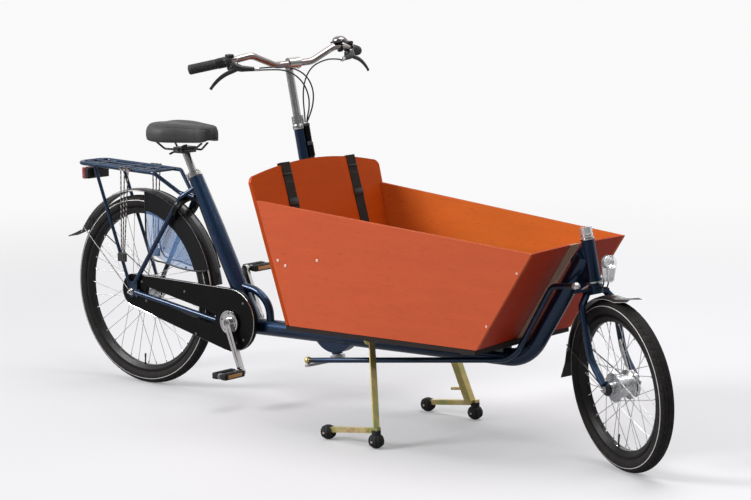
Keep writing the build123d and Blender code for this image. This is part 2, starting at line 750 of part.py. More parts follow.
carrier_solid = carrier() - seat_tube_solid
for stay in seat_stays:
    carrier_solid -= stay
carrier_solid = largest(carrier_solid)
strut_solid = carrier_strut() - carrier_solid - chain_stays[0] - seat_stays[0]
save("carrier", carrier_solid)
save("carrier_struts", *both_sides(largest(strut_solid)))


def binder():
    """Three stretched straps on one side, from the carrier's rail down to a hook at the stay."""
    rail = CARRIER_HALF + CARRIER_R + SEAT_GAP
    top_x = -14.0
    z = carrier_z(top_x)
    body = block((top_x - 28, top_x + 28), (rail, rail + 7), (z - 4, z + 4))
    body += block((-52, -14), (rail + 3, rail + 11), (430, 458))
    for x in (-18.0, 0.0, 18.0):
        body += rod((top_x + x, rail + 4, z), (-30 + x * 0.4, rail + 6, 455), 2.2)
    return body


save("carrier_bands", *both_sides(binder()))
light_top = carrier_z(-200) - 4.5 - SEAT_GAP
rear_light = block((-262, -230), (-48, 48), (696, 738))
save("rear_light", rear_light + block((-230, -200), (-26, 26), (702, light_top)))


# ---- fenders ----
def fender(radius, half, start, sweep_angle):
    """A curved strip over a wheel, from one angle on; angles rise from +X over the top."""
    t = FENDER_T
    outer = [(radius - 7, -half), (radius - 2, -half * 0.6), (radius, 0), (radius - 2, half * 0.6),
             (radius - 7, half)]
    inner = [(r - t, y) for r, y in reversed(outer)]
    face = make_face(Polyline(*outer, *inner, close=True))
    arc = revolve(face, axis=Axis.Y, revolution_arc=sweep_angle)
    return arc.rotate(Axis.Y, -start - sweep_angle)


def stay_wire(side, angle, radius, foot_point, wire_r=2.0):
    a = (foot_point[0], side * foot_point[1], foot_point[2])
    b = ((radius - 5) * cos(radians(angle)), side * 28, (radius - 5) * sin(radians(angle)))
    return rod(a, b, wire_r)


rear_fender = fender(FENDER_REAR_R, 29.0, 8.0, 141.0)
for side_sign in (-1, 1):
    rear_fender += stay_wire(side_sign, 145.0, FENDER_REAR_R, (-14, DROP_Y + 5.6, 8))
rear_flap = plate([(-296, -24, 182.5), (-326, -24, 169.5), (-367, -24, 154), (-368, -24, 156.5),
                   (-327, -24, 172), (-297, -24, 185)], 48.0, (0, 1, 0))
save("rear_fender", Pos(*REAR_C) * rear_fender)
save("rear_flap", Pos(*REAR_C) * (rear_flap - rear_fender))

FRONT_START = 84.0        # angle where the front fender leaves its circle and flares up
FRONT_SWEEP = 83.0
front_fender = fender(FENDER_FRONT_R, 26.0, FRONT_START, FRONT_SWEEP)
tip_edge = front_fender.faces().filter_by(GeomType.PLANE).sort_by(Axis.X)[-1]
front_fender += extrude(tip_edge, amount=70.0, dir=Vector(69.0, 0, 12.5).normalized())
for side_sign in (-1, 1):
    front_fender += stay_wire(side_sign, 162.0, FENDER_FRONT_R, (-12, 46.6, -6))
front_flap = plate([(-255, -22, 66), (-272, -22, 16), (-301, -22, -34), (-303.5, -22, -32.5),
                    (-274.6, -22, 17), (-257.6, -22, 67)], 44.0, (0, 1, 0))
save("front_fender", front_placed(front_fender))
save("front_flap", front_placed(front_flap - front_fender))


# ---- coat guards ----
GUARD_T = 1.4
GUARD_Y = 29.0 + SEAT_GAP


def coat_guard():
    """A thin sheet beside the rear wheel's upper front quarter."""
    r = FENDER_REAR_R - 4
    arc_ends = [(r * cos(radians(a)), r * sin(radians(a))) for a in (18, 50, 84)]
    low = Polyline(arc_ends[2], (46, 137), (142, 105), (233, 93), (312, 96), arc_ends[0])
    face = Plane.XZ * make_face(ThreePointArc(*arc_ends) + low)
    return Pos(0, -GUARD_Y, REAR_TYRE_R) * extrude(face, amount=GUARD_T)


save("coat_guards", *both_sides(coat_guard()))


# ---- chain case ----
def chain_case():
    """A flat case, round at both ends and thinner at the rear, with a slot for the chain stay."""
    rear = (0.0, REAR_TYRE_R + 4)
    front = (BB_X, BB_Z + 6)
    y0, y1 = -CASE_OUT_Y, -CASE_IN_Y
    dx, dz = front[0] - rear[0], front[1] - rear[1]
    along = atan2(dz, dx)
    off = atan2(CASE_FRONT_R - CASE_REAR_R, hypot(dx, dz))
    corners = []
    for centre, r, side in ((rear, CASE_REAR_R, 1), (front, CASE_FRONT_R, 1),
                            (front, CASE_FRONT_R, -1), (rear, CASE_REAR_R, -1)):
        a = along + side * (pi / 2 + off)
        corners.append((centre[0] + r * cos(a), y0, centre[1] + r * sin(a)))
    body = plate(corners, y1 - y0, (0, 1, 0))
    body += disc(rear, CASE_REAR_R, y0, y1)
    body += disc(front, CASE_FRONT_R, y0, y1)
    thin = [(-100, -CASE_REAR_Y, 0), (50, -CASE_REAR_Y, 0), (230, y0, 0), (230, y0 - 5, 0), (-100, y0 - 5, 0)]
    body -= plate(thin, 700, (0, 0, 1))
    slot = [(62, y0 - 1, 350), (360, y0 - 1, 300), (394, y0 - 1, 286), (388, y0 - 1, 256),
            (330, y0 - 1, 262), (52, y0 - 1, 314)]
    body -= plate(slot, y1 - y0 + 2, (0, 1, 0))
    body -= disc((0, REAR_TYRE_R), 24.0, y0 - 1, y1 + 1)
    body -= disc((BB_X, BB_Z), BB_R + 4, y0 + 3, y1 + 1)
    body -= disc((BB_X, BB_Z), SPINDLE_R + 2, y0 - 1, y1 + 1)
    return body


case_body = chain_case() - chain_stays[0] - seat_stays[0] - seat_tube_solid - main_tube_solid
save("chain_case", largest(case_body))


# ---- cranks and pedals ----
def crank_end(sign):
    a = radians(CRANK_DOWN_FORWARD)
    return (BB_X + sign * CRANK_LENGTH * sin(a), BB_Z - sign * CRANK_LENGTH * cos(a))


def crankset():
    end_in = ARM_IN_Y + ARM_FLARE
    end_out = end_in + ARM_THICK
    body = disc((BB_X, BB_Z), SPINDLE_R, -ARM_IN_Y - ARM_THICK, ARM_IN_Y + ARM_THICK)
    body += disc((BB_X, BB_Z), CRANK_DISC_R, -ARM_IN_Y, -ARM_IN_Y + 3)
    for sign in (-1, 1):
        # the right crank points down at rest, the left one up
        x, z = crank_end(-sign)
        body += disc((BB_X, BB_Z), 16.0, *sorted((sign * ARM_IN_Y, sign * (ARM_IN_Y + ARM_THICK))))
        body += disc((x, z), 13.0, *sorted((sign * end_in, sign * end_out)))
        d = Vector(x - BB_X, 0, z - BB_Z).normalized()
        n = Vector(-d.Z, 0, d.X)
        c = Vector(BB_X, sign * ARM_IN_Y, BB_Z)
        e = Vector(x, sign * end_in, z)
        body += plate([c + n * 13, e + n * 10, e - n * 10, c - n * 13], ARM_THICK, (0, sign, 0))
        body += disc((x, z), PEDAL_AXLE_R, sign * (end_out - 2), sign * (PEDAL_IN_Y + PEDAL_LENGTH - 5))
    return body


def pedal(sign):
    x, z = crank_end(-sign)
    y0 = PEDAL_IN_Y
    y1 = y0 + PEDAL_LENGTH
    lo, hi = sorted((sign * y0, sign * y1))
    w = PEDAL_WIDTH / 2
    t = PEDAL_THICK / 2
    body = disc((x, z), 10.0, lo, hi)
    body += block((x - w, x - w + 22), (lo, hi), (z - t, z + t))
    body += block((x + w - 22, x + w), (lo, hi), (z - t, z + t))
    body += block((x - w, x + w), (lo, lo + 9), (z - t + 3, z + t - 3))
    body += block((x - w, x + w), (hi - 9, hi), (z - t + 3, z + t - 3))
    body -= disc((x, z), PEDAL_AXLE_R + RUN_GAP, sign * (y0 - 1), sign * (y1 - 4))
    return body


save("crankset", crankset())
save("pedal_right", pedal(-1))
save("pedal_left", pedal(1))


# ---- ring lock and cable guide ----
def ring_lock():
    """A ring round the tyre, open towards the hub."""
    place = Pos(200.3, 0, 623.5) * Rot(0, -56, 0)
    ring = place * (Cylinder(52, 18) - Cylinder(40, 30) - Pos(-52, 0, 0) * Box(60, 64, 40))
    for item in seat_stays:
        ring -= item
    ring -= seat_tube_solid
    ring -= Pos(*REAR_C) * rear_fender
    return largest(ring)


save("ring_lock", ring_lock())
GUIDE_AHEAD = 24.0
GUIDE_Y = 12.0
GUIDE_TOP_Z = 938.0
GUIDE_R = 8.5
guide = taper((on_column(834, 20), 16, 834), (on_column(878, 21), 15, 878), 11.0, 10.5)
guide += rod((on_column(877, 21), 15, 877), (on_column(GUIDE_TOP_Z, GUIDE_AHEAD), GUIDE_Y, GUIDE_TOP_Z), GUIDE_R)
save("cable_guide", largest(guide - column_outer))


# ---- handlebar and column ----
STEM_Z = 1131.0
STEM_AHEAD = 32.0


def stem():
    quill = along_axis(on_column, COLUMN_TOP_Z + 1, 1120, 12.7)
    quill += along_axis(on_column, COLUMN_TOP_Z + 1, 961, 19.0)
    quill += rod((on_column(1112), 0, 1112), (on_column(STEM_Z - 4, STEM_AHEAD), 0, STEM_Z), 11.5)
    clamp = rod((on_column(STEM_Z, STEM_AHEAD), -21, STEM_Z), (on_column(STEM_Z, STEM_AHEAD), 21, STEM_Z), 18.0)
    return quill + clamp


def bar_place(ahead, y, z):
    """A point beside the handlebar's axis, before the bar is turned."""
    return Vector(on_column(z, ahead), y, z)


# the left half of the bar: middle, two bends, start and end of the swept-back end
BAR_LEFT = [(34, 66, 1130), (44, 156, 1170), (34, 212, 1161), (-73, 318, 1135)]
BAR_R = 11.1
GRIP_LENGTH = 122.0
GRIP_R = 16.0
LEVER_FRONT = (45, 214, 1135)
LEVER_INNER = (74, 157, 1129)
LEVER_TIP = (2, 300, 1077)


def bar_run():
    """Start, end and direction of the left swept-back end."""
    a = bar_place(*BAR_LEFT[2])
    b = bar_place(*BAR_LEFT[3])
    return a, b, (b - a).normalized()


def handlebar():
    left = [bar_place(*p) for p in BAR_LEFT]
    points = [(p.X, -p.Y, p.Z) for p in reversed(left)] + [(p.X, p.Y, p.Z) for p in left]
    return tube(points, [30, 50, 60, 60, 50, 30], BAR_R)


def grip():
    _, b, run = bar_run()
    body = rod(tuple(b - run * (GRIP_LENGTH - 4)), tuple(b + run * 4), GRIP_R)
    return body - rod(tuple(b - run * (GRIP_LENGTH + 10)), tuple(b), BAR_R + 0.1)


def brake_lever():
    """The left lever: a clamp, a long body that takes the cable, and the blade."""
    _, b, run = bar_run()
    at = b - run * (GRIP_LENGTH + 8)
    front = bar_place(*LEVER_FRONT)
    body = rod(tuple(at - run * 8), tuple(at + run * 8), 17.0)
    body += rod(tuple(at + (front - at) * 0.35), tuple(front), 8.0)
    body += taper(tuple(front), tuple(bar_place(*LEVER_INNER)), 8.0, 6.5)
    body += taper(tuple(front), tuple(bar_place(*LEVER_TIP)), 6.5, 4.5)
    body += Pos(*front) * Sphere(8.0)
    return body - rod(tuple(at - run * 40), tuple(at + run * 40), BAR_R + 0.1)


stem_solid = stem()
bar_solid = handlebar()
save("stem", bar_turned(stem_solid - bar_solid))
save("handlebar", bar_turned(bar_solid))
save("grips", *[bar_turned(s) for s in both_sides(grip())])
save("brake_levers", *[bar_turned(s) for s in both_sides(brake_lever())])
BELL_R = 25.5
bell_at = bar_place(42, 180, 1167)
bell = rod(tuple(bell_at + Vector(0, 0, 9)), tuple(bell_at + Vector(0, 0, 16)), 6.0)
bell += Pos(bell_at.X, bell_at.Y, bell_at.Z + 25) * Cylinder(BELL_R, 18)
save("bell", bar_turned(bell - bar_solid))

ARM_T = 8.0
COLUMN_ARM_Z = 189.0
FORK_ARM_Z = 522.0


def arm_plane(x_at, z, back):
    """Square to a steering axis at a height, with local X along the right-hand arm."""
    arm = Vector(0, -1, 0).rotate(Axis((0, 0, 0), STEER_UP), -back)
    return Plane(origin=(x_at(z), 0, z), z_dir=STEER_UP, x_dir=arm)


def steering_arm(place, length, width):
    """A flat arm square to its steering axis."""
    body = Pos(length / 2, 0) * Box(length, width, ARM_T) + Pos(length, 0) * Cylinder(width / 2, ARM_T)
    return place * body


COLUMN_ARM_PLANE = arm_plane(on_column, COLUMN_ARM_Z, COLUMN_ARM_BACK)
FORK_ARM_PLANE = arm_plane(on_front, FORK_ARM_Z, FORK_ARM_BACK)


def column():
    body = along_axis(on_column, 184, COLUMN_TOP_Z + 0.7, COLUMN_SHAFT_R)
    body += along_axis(on_column, 184, COLUMN_LOW_Z - 3, 24.0)
    return body + steering_arm(COLUMN_ARM_PLANE, COLUMN_ARM, 26.0)


save("column", bar_turned(column()))


CABLE_R = 2.4


def cables():
    """Three cables: two from the right lever and one from the left, down to the guide."""
    end_z = GUIDE_TOP_Z + 4.0
    guide_end = Vertex(on_column(end_z, GUIDE_AHEAD), GUIDE_Y, end_z).rotate(COLUMN_AXIS, -BAR_TURN).center()
    inner = bar_place(*LEVER_INNER)
    out = (inner - bar_place(*LEVER_FRONT)).normalized() * 1.3
    right_start = Vector(inner.X + out.X, -inner.Y - out.Y, inner.Z + out.Z)
    routes = [
        [right_start + Vector(0, 0, 3.4), (84, -110, 1132), (84, -56, 1127), (88, -15, 1111), (86, 14, 1082),
         (81, 26, 1043), (67, 26, 1003), (45, 22, 968), guide_end + Vector(3.6, 0, 0)],
        [right_start - Vector(out.X, -out.Y, out.Z) * 0.35 - Vector(0, 0, 2.9), (90, -115, 1125),
         (87, -68, 1118), (79, -26, 1097), (72, 3, 1064),
         (62, 18, 1024), (45, 21, 984), (29, 20.5, 962), guide_end + Vector(-1.8, 3.1, -0.4)],
        [inner + out, (66, 127, 1135), (60, 93, 1131), (48, 60, 1117), (32, 40, 1088),
         (18, 30, 1050), (12, 25, 1010), (15, 20, 972), guide_end + Vector(-1.8, -3.1, 0)],
    ]
    tubes = []
    for route in routes:
        points = [p if isinstance(p, Vector) else bar_place(*p) for p in route]
        points = [tuple(p) for p in points]
        tubes.append(tube(points, cord_radii(points), CABLE_R))
    return tubes


def cord_radii(points):
    """The largest arc that each corner's two runs allow."""
    radii = []
    for a, b, c in zip(points, points[1:], points[2:]):
        u = Vector(*b) - Vector(*a)
        v = Vector(*c) - Vector(*b)
        turn = radians(u.get_angle(v))
        radii.append(0.45 * min(u.length, v.length) / tan(turn / 2))
    print("cable radii", [round(r) for r in radii])
    return radii


save("cables", *[bar_turned(s) for s in cables()])


# ---- steering rod ----
BALL_R = 12.0
ROD_R = 8.5


ROD_KNEE = (1622.0, -60.0, 290.0)
ROD_END_RUN = 85.0        # the rod's nearly level end behind its front ball
ROD_END_DROP = 8.0


def steering_rod():
    """From a ball on the column's arm, low beside the main tube, up to a ball on the fork's arm."""
    lift = ARM_T / 2 + BALL_R + SEAT_GAP
    a = bar_turned(COLUMN_ARM_PLANE * Pos(COLUMN_ARM, 0, lift) * Sphere(1)).center()
    c = fork_turned(FORK_ARM_PLANE * Pos(FORK_ARM, 0, lift) * Sphere(1)).center()
    points = [tuple(a), ROD_KNEE, (c.X - ROD_END_RUN, ROD_KNEE[1], c.Z - ROD_END_DROP), tuple(c)]
    body = tube(points, [110, 34], ROD_R)
    return body + Pos(*a) * Sphere(BALL_R) + Pos(*c) * Sphere(BALL_R)


save("steering_rod", steering_rod())


# ---- fork ----
BLADE_Y = 56.0
CROWN_Z = 520.0


def fork():
    body = along_axis(on_front, 512, HEAD_TOP_Z + 3, STEERER_R)
    crown_low, crown_high = 508.0, HEAD_LOW_Z - 1.0
    body += along_axis(on_front, crown_low, crown_high - 1.5, 21.0)
    body += block((on_front(CROWN_Z) - 12, on_front(CROWN_Z) + 12), (-38, 38), (crown_low, crown_high - 16))
    body += steering_arm(FORK_ARM_PLANE, FORK_ARM, 22.0)
    for sign in (-1, 1):
        pts = [(on_front(CROWN_Z), sign * 30, CROWN_Z - 8), (on_front(478), sign * BLADE_Y, 478),
               (on_front(330), sign * BLADE_Y, 330), (FRONT_C[0] - 4, sign * (BLADE_Y - 1), FRONT_C[2] + 12)]
        body += tube(pts, [26, 120], 10.5)
        y0, y1 = sorted((sign * (BLADE_Y - 7), sign * (BLADE_Y - 1)))
        body += disc((FRONT_C[0], FRONT_C[2]), 15.0, y0, y1)
        body += block((FRONT_C[0] - 9, FRONT_C[0] + 9), (y0, y1), (FRONT_C[2], FRONT_C[2] + 26))
    body -= disc((FRONT_C[0], FRONT_C[2]), AXLE_R, -100, 100)
    return body


front_axle = disc((FRONT_C[0], FRONT_C[2]), AXLE_R, -66, 66)
for side_sign in (-1, 1):
    front_axle += disc((FRONT_C[0], FRONT_C[2]), 9.0, side_sign * (BLADE_Y - 1 + 0.2), side_sign * (BLADE_Y + 6))
fork_solid = fork() - front_axle
save("fork", fork_turned(largest(fork_solid)))
save("front_axle", fork_turned(front_axle))
cap = along_axis(on_front, HEAD_TOP_Z + 1.0, HEAD_TOP_Z + 31.0, 18.0)
save("headset_cap", fork_turned(cap - fork_solid))
lamp_x = on_front(590, 92)
lamp = Pos(lamp_x, 0, 592) * Rot(0, 8, 0) * Cylinder(23, 78)
arm = rod((on_front(530, 18), 0, 528), (lamp_x - 4, 0, 548), 5.0)
save("headlight", fork_turned((lamp + arm) - fork_solid))


def roller_brake(centre, inner_y, outer_y, radius, arm_end):
    """A drum on the left of a hub, with the arm that holds it from turning."""
    x, z = centre
    body = disc((x, z), radius, inner_y, outer_y)
    body += rod((x, outer_y - 5, z), arm_end, 4.5)
    return body - disc((x, z), AXLE_R, 0, 100)


front_brake = roller_brake((FRONT_C[0], FRONT_C[2]), FRONT_HUB[4] + 1.5, 41.0, 40.0,
                           (FRONT_C[0] - 60, 40, FRONT_C[2] + 118))
save("front_brake", fork_turned(largest(front_brake - fork_solid)))
rear_brake = roller_brake((0, REAR_TYRE_R), REAR_HUB[4] + 1.5, 52.0, 45.0, (120, 40, REAR_TYRE_R - 10))
save("rear_brake", largest(rear_brake - chain_stays[1] - seat_stays[1]))
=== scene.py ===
"""Finishes and fine pieces of a two-wheeled cargo bike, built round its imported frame.

Lengths in the shapes are in millimetres, in the frame's own axes: X ahead, Y to the rider's left, Z up.
"""

import json
from math import atan2, cos, exp, hypot, pi, radians, sin, tan

import bmesh
import bpy
from mathutils import Matrix, Vector


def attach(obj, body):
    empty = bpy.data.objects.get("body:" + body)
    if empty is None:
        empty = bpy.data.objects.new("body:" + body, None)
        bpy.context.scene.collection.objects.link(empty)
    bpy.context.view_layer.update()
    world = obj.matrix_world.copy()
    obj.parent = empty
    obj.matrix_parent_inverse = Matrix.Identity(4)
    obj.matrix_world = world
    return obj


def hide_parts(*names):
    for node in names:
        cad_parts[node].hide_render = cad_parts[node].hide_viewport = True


bl_info = {
    "name": "Cargo bike looks",
    "version": (1, 0, 0),
    "blender": (4, 5, 0),
    "location": "View3D > Sidebar > Cargo bike",
    "description": "Finishes and fine pieces of a two-wheeled cargo bike with a wooden box",
    "category": "Object",
}

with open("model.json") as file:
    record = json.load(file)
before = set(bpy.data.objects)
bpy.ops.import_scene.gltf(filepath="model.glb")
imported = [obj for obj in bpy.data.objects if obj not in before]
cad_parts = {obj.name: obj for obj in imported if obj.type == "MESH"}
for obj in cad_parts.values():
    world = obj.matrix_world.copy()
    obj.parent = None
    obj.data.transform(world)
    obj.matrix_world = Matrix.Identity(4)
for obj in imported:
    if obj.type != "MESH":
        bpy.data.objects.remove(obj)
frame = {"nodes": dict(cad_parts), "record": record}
NODES = frame["nodes"]
SLOT_OF = {row["node"]: row["material_slot"] for row in frame["record"]["subparts"]}
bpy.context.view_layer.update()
MM = 0.001
UP = Vector((0, 0, 1))
SIDES = (-1, 1)

# ---- places on the bike ----
STEER_TILT = radians(12)
STEER_UP = Vector((-sin(STEER_TILT), 0, cos(STEER_TILT)))
FORK_TURN = radians(-24.4)
FORK_RATIO = 1.6
BAR_TURN = FORK_TURN / FORK_RATIO
AXIS_Z = 600
FRONT_AXIS_X = 1855
COLUMN_AXIS_X = 793
REAR_R = 327
REAR_RIM = 285
FRONT_R = 253
FRONT_RIM = 209
FRONT_RAKE = 50
BOTTOM_BRACKET = Vector((463, 0, 272))
CRANK_LENGTH = 168
CRANK_ANGLE = radians(24.5)
PEDAL_Y = 93
PEDAL_MIDDLE = 148
BOX_WALL = 12
# the ends of slanted tubes and walls, as (x, z)
SEAT_TUBE = ((254, 731), (489, 302))
BACK_WALL = ((914, 345), (803, 728))
FRONT_WALL = ((1619, 345), (1815, 644))
WALL_TILT = atan2(BACK_WALL[0][0] - BACK_WALL[1][0], BACK_WALL[1][1] - BACK_WALL[0][1])


def on_line(line, z):
    """X at a height on a slanted line."""
    (x1, z1), (x2, z2) = line
    return x1 + (z - z1) * (x2 - x1) / (z2 - z1)


def on_axis(axis_x, z, ahead=0):
    """X of a steering axis at a height, or ahead of it."""
    return axis_x - (z - AXIS_Z) * tan(STEER_TILT) + ahead


def turned_about(x, angle):
    """The turn about a steering axis."""
    there = Matrix.Translation((x, 0, AXIS_Z))
    return there @ Matrix.Rotation(angle, 4, STEER_UP) @ there.inverted()


def fork_place(ahead, y, z):
    """A point beside the fork's steering axis, before the fork is turned."""
    return Vector((on_axis(FRONT_AXIS_X, z, ahead), y, z))


def bar_place(ahead, y, z):
    """A point beside the handlebar's steering axis, before the bar is turned."""
    return Vector((on_axis(COLUMN_AXIS_X, z, ahead), y, z))


FORK_TURNED = turned_about(FRONT_AXIS_X, FORK_TURN)
BAR_TURNED = turned_about(COLUMN_AXIS_X, BAR_TURN)
REAR_PLACE = Matrix.Translation((0, 0, REAR_R))
FRONT_FOOT = FRONT_R - FRONT_RAKE * sin(STEER_TILT)
FRONT_CENTRE = (on_axis(FRONT_AXIS_X, FRONT_FOOT) + FRONT_RAKE * cos(STEER_TILT), 0, FRONT_R)
FRONT_PLACE = FORK_TURNED @ Matrix.Translation(FRONT_CENTRE)


def mirrored(point):
    """The same point on the bike's other side."""
    return Vector((point[0], -point[1], point[2]))


def beside(point, side):
    """The point on the left (1), or mirrored to the right (-1)."""
    return point if side > 0 else mirrored(point)


def sideways(y):
    """A step to the rider's left."""
    return Vector((0, y, 0))


def crank_end(sign):
    """Where a pedal's axle is, at the bike's middle: the left one (1) is up, the right one (-1) down."""
    return Vector((BOTTOM_BRACKET.x - sign * CRANK_LENGTH * sin(CRANK_ANGLE), 0,
                   BOTTOM_BRACKET.z + sign * CRANK_LENGTH * cos(CRANK_ANGLE)))


SIDE_CORNERS = [Vector((799, 303.5, 728)), Vector((1815, 236, 644)), Vector((912, 281, 345))]
SIDE_NORMAL = (SIDE_CORNERS[1] - SIDE_CORNERS[0]).cross(SIDE_CORNERS[2] - SIDE_CORNERS[0]).normalized()
SIDE_NORMAL = SIDE_NORMAL if SIDE_NORMAL.y > 0 else -SIDE_NORMAL


def side_y(x, z):
    """Y of the box's left side, at its outer face."""
    return (SIDE_NORMAL.dot(SIDE_CORNERS[0]) - SIDE_NORMAL.x * x - SIDE_NORMAL.z * z) / SIDE_NORMAL.y


# ---- sizes and colours a user would change ----
def colour(name, description, value):
    return bpy.props.FloatVectorProperty(name=name, description=description, subtype="COLOR", size=3,
                                         min=0, max=1, default=value)


def length(name, description, value):
    return bpy.props.FloatProperty(name=name, description=description, unit="LENGTH", min=0, default=value)


class BikeColours(bpy.types.PropertyGroup):
    """The colours of the bike's finishes."""

    frame_paint: colour("Frame paint", "Metallic paint on the frame tubes", (0.0048, 0.0175, 0.046))
    box_wood: colour("Box wood", "Varnished plywood of the box", (0.56, 0.1, 0.038))
    strip_wood: colour("Strip wood", "Plain wood strip on the box's nose", (0.42, 0.24, 0.16))
    floor_wood: colour("Floor wood", "Dark faced plywood of the box's floor", (0.03, 0.022, 0.02))
    guard: colour("Coat guard", "Clear plastic beside the rear wheel", (0.13, 0.25, 0.48))
    zinc: colour("Stand zinc", "Yellow zinc on the stand", (0.6, 0.47, 0.17))
    reflector: colour("Pedal reflector", "Amber reflectors in the pedals", (0.36, 0.16, 0.006))
    rear_lens: colour("Rear lens", "Red lens of the rear light", (0.2, 0.003, 0.008))
    studio_floor: colour("Studio floor", "The floor under the bike", (0.615, 0.61, 0.63))


class BikeSizes(bpy.types.PropertyGroup):
    """The sizes of the bike's fine pieces."""

    tread_depth: length("Tread depth", "Depth of the grooves in the tyres", 0.0014)
    grip_rib: length("Grip rib", "Height of the ribs on the grips", 0.0011)
    seam: length("Saddle seam", "Radius of the saddle's welts", 0.0011)
    screw: length("Box screw", "Radius of the screw heads in the box", 0.0048)
    saddle_fill: bpy.props.FloatProperty(name="Saddle fill", description="How tight the saddle's padding is",
                                         subtype="FACTOR", min=0, max=1, default=0.9)


def tone(name):
    """A colour of the user's."""
    return tuple(getattr(bpy.context.scene.bike_colours, name))


def size(name):
    """A size of the user's, in millimetres."""
    return getattr(bpy.context.scene.bike_sizes, name) / MM


def times(shade, factor, plus=0.0):
    """A colour times one factor, or one for each channel, and no brighter than 1."""
    factors = factor if isinstance(factor, tuple) else (factor,) * 3
    return [min(1, c * k + plus) for c, k in zip(shade, factors)]


# ---- shader maths ----
class Value:
    """A node's output; arithmetic on it adds Math nodes."""

    def __init__(self, nodes, socket):
        self.nodes = nodes
        self.socket = socket

    def __add__(self, other):
        return self.nodes.math("ADD", self, other)

    def __sub__(self, other):
        return self.nodes.math("SUBTRACT", self, other)

    def __rsub__(self, other):
        return self.nodes.math("SUBTRACT", other, self)

    def __mul__(self, other):
        return self.nodes.math("MULTIPLY", self, other)

    def __abs__(self):
        return self.nodes.math("ABSOLUTE", self)

    __radd__ = __add__
    __rmul__ = __mul__


class Nodes:
    """A tree of shader nodes, emptied and then written anew from its output node."""

    def __init__(self, tree, output):
        self.tree = tree
        tree.nodes.clear()
        self.surface = tree.nodes.new("ShaderNode" + output).inputs["Surface"]

    def feed(self, socket, value):
        """Gives a socket a number, a colour or another node's output."""
        if isinstance(value, Value):
            self.tree.links.new(value.socket, socket)
        elif socket.type == "RGBA":
            socket.default_value = (*value[:3], 1)
        else:
            socket.default_value = value

    def node(self, kind, sockets=None, out=0, stops=None, **settings):
        """A node's output: its settings first, then a ramp's stops, then its sockets."""
        made = self.tree.nodes.new("ShaderNode" + kind)
        for key, value in settings.items():
            setattr(made, key, value)
        if stops:
            ramp = made.color_ramp
            while len(ramp.elements) < len(stops):
                ramp.elements.new(1)
            for element, (at, shade) in zip(ramp.elements, stops):
                element.position = at
                element.color = (*shade, 1)
        for key, value in (sockets or {}).items():
            self.feed(made.inputs[key], value)
        return Value(self, made.outputs[out])

    def math(self, operation, *values):
        return self.node("Math", dict(enumerate(values)), operation=operation)

    def vector(self, operation, *values, out=0):
        return self.node("VectorMath", dict(enumerate(values)), out=out, operation=operation)

    def past(self, value, edge, soft):
        """0 below the edge, 1 above it."""
        sockets = {0: value, 1: edge - soft, 2: edge + soft}
        return self.node("MapRange", sockets, interpolation_type="SMOOTHSTEP")


class Finish(Nodes):
    """A procedural material: one Principled shader and what feeds it."""

    def __init__(self, name, **sockets):
        self.material = bpy.data.materials.new(name)
        self.material.use_nodes = True
        super().__init__(self.material.node_tree, "OutputMaterial")
        self.shader = self.node("BsdfPrincipled")
        self.feed(self.surface, self.shader)
        self.place = self.node("TexCoord", out="Object")
        self.set(**sockets)

    def set(self, **sockets):
        """Sets the shader's sockets, such as base_color or coat_weight."""
        for key, value in sockets.items():
            name = key.replace("_", " ").title().replace("Ior", "IOR")
            self.feed(self.shader.socket.node.inputs[name], value)
        return self

    def mix(self, factor, a, b):
        """The colour between a and b."""
        return self.node("Mix", {0: factor, 6: a, 7: b}, out=2, data_type="RGBA")

    def noise(self, scale, detail=2.0, roughness=0.5, stretch=(1, 1, 1)):
        at = self.vector("MULTIPLY", self.place, stretch)
        return self.node("TexNoise", {"Vector": at, "Scale": scale, "Detail": detail, "Roughness": roughness})

    def cells(self, scale, feature="F1", out=0):
        return self.node("TexVoronoi", {"Vector": self.place, "Scale": scale}, out=out, feature=feature)

    def wave(self, scale, direction, distortion=0.0):
        return self.node("TexWave", {"Vector": self.place, "Scale": scale, "Distortion": distortion}, out=1,
                         bands_direction=direction)

    def along(self, axis, place=None):
        """One coordinate: 0, 1 or 2."""
        return self.node("SeparateXYZ", {0: place or self.place}, out=axis)

    def near(self, point, reach, soft):
        """1 within reach of a point, in metres."""
        return 1 - self.past(self.vector("DISTANCE", self.place, point, out=1), reach, soft)

    def wheel_place(self, place):
        """The place in a wheel's own axes, in metres."""
        parts = [self.vector("DOT_PRODUCT", self.place, tuple(row[:3]), out=1) + row[3] * MM
                 for row in place.inverted()[:3]]
        return self.node("CombineXYZ", dict(enumerate(parts)))

    def radius(self, place):
        """Distance from a wheel's axle, in metres."""
        return self.vector("LENGTH", self.vector("MULTIPLY", place, (1, 0, 1)), out=1)

    def bump(self, height, distance):
        return self.set(normal=self.node("Bump", {"Height": height, "Distance": distance, "Strength": 1.0}))

    def tinted(self, shade, low, high, scale):
        """A colour that wanders between low and high times itself."""
        return self.mix(self.noise(scale, 3.0, 0.55), times(shade, low), times(shade, high))


def blue_paint(name="midnight_blue_lacquer"):
    """Metallic paint under clear lacquer."""
    shade = tone("frame_paint")
    f = Finish(name, metallic=0.8, coat_weight=0.5, coat_roughness=0.06, coat_ior=1.5)
    grey = f.node("RGBToBW", {0: f.cells(2600, out=1)})
    base = f.mix(grey * 0.45, f.tinted(shade, 0.82, 1.2, 7), times(shade, (1.6, 2.2, 2.1)))
    dust = f.past(f.noise(38, 5, 0.7), 0.66, 0.1)
    f.set(base_color=f.mix(dust * 0.12, base, (0.14, 0.15, 0.17)), roughness=0.32 + grey * 0.1 + dust * 0.1)
    return f.bump(f.noise(240, 1), 0.00003)


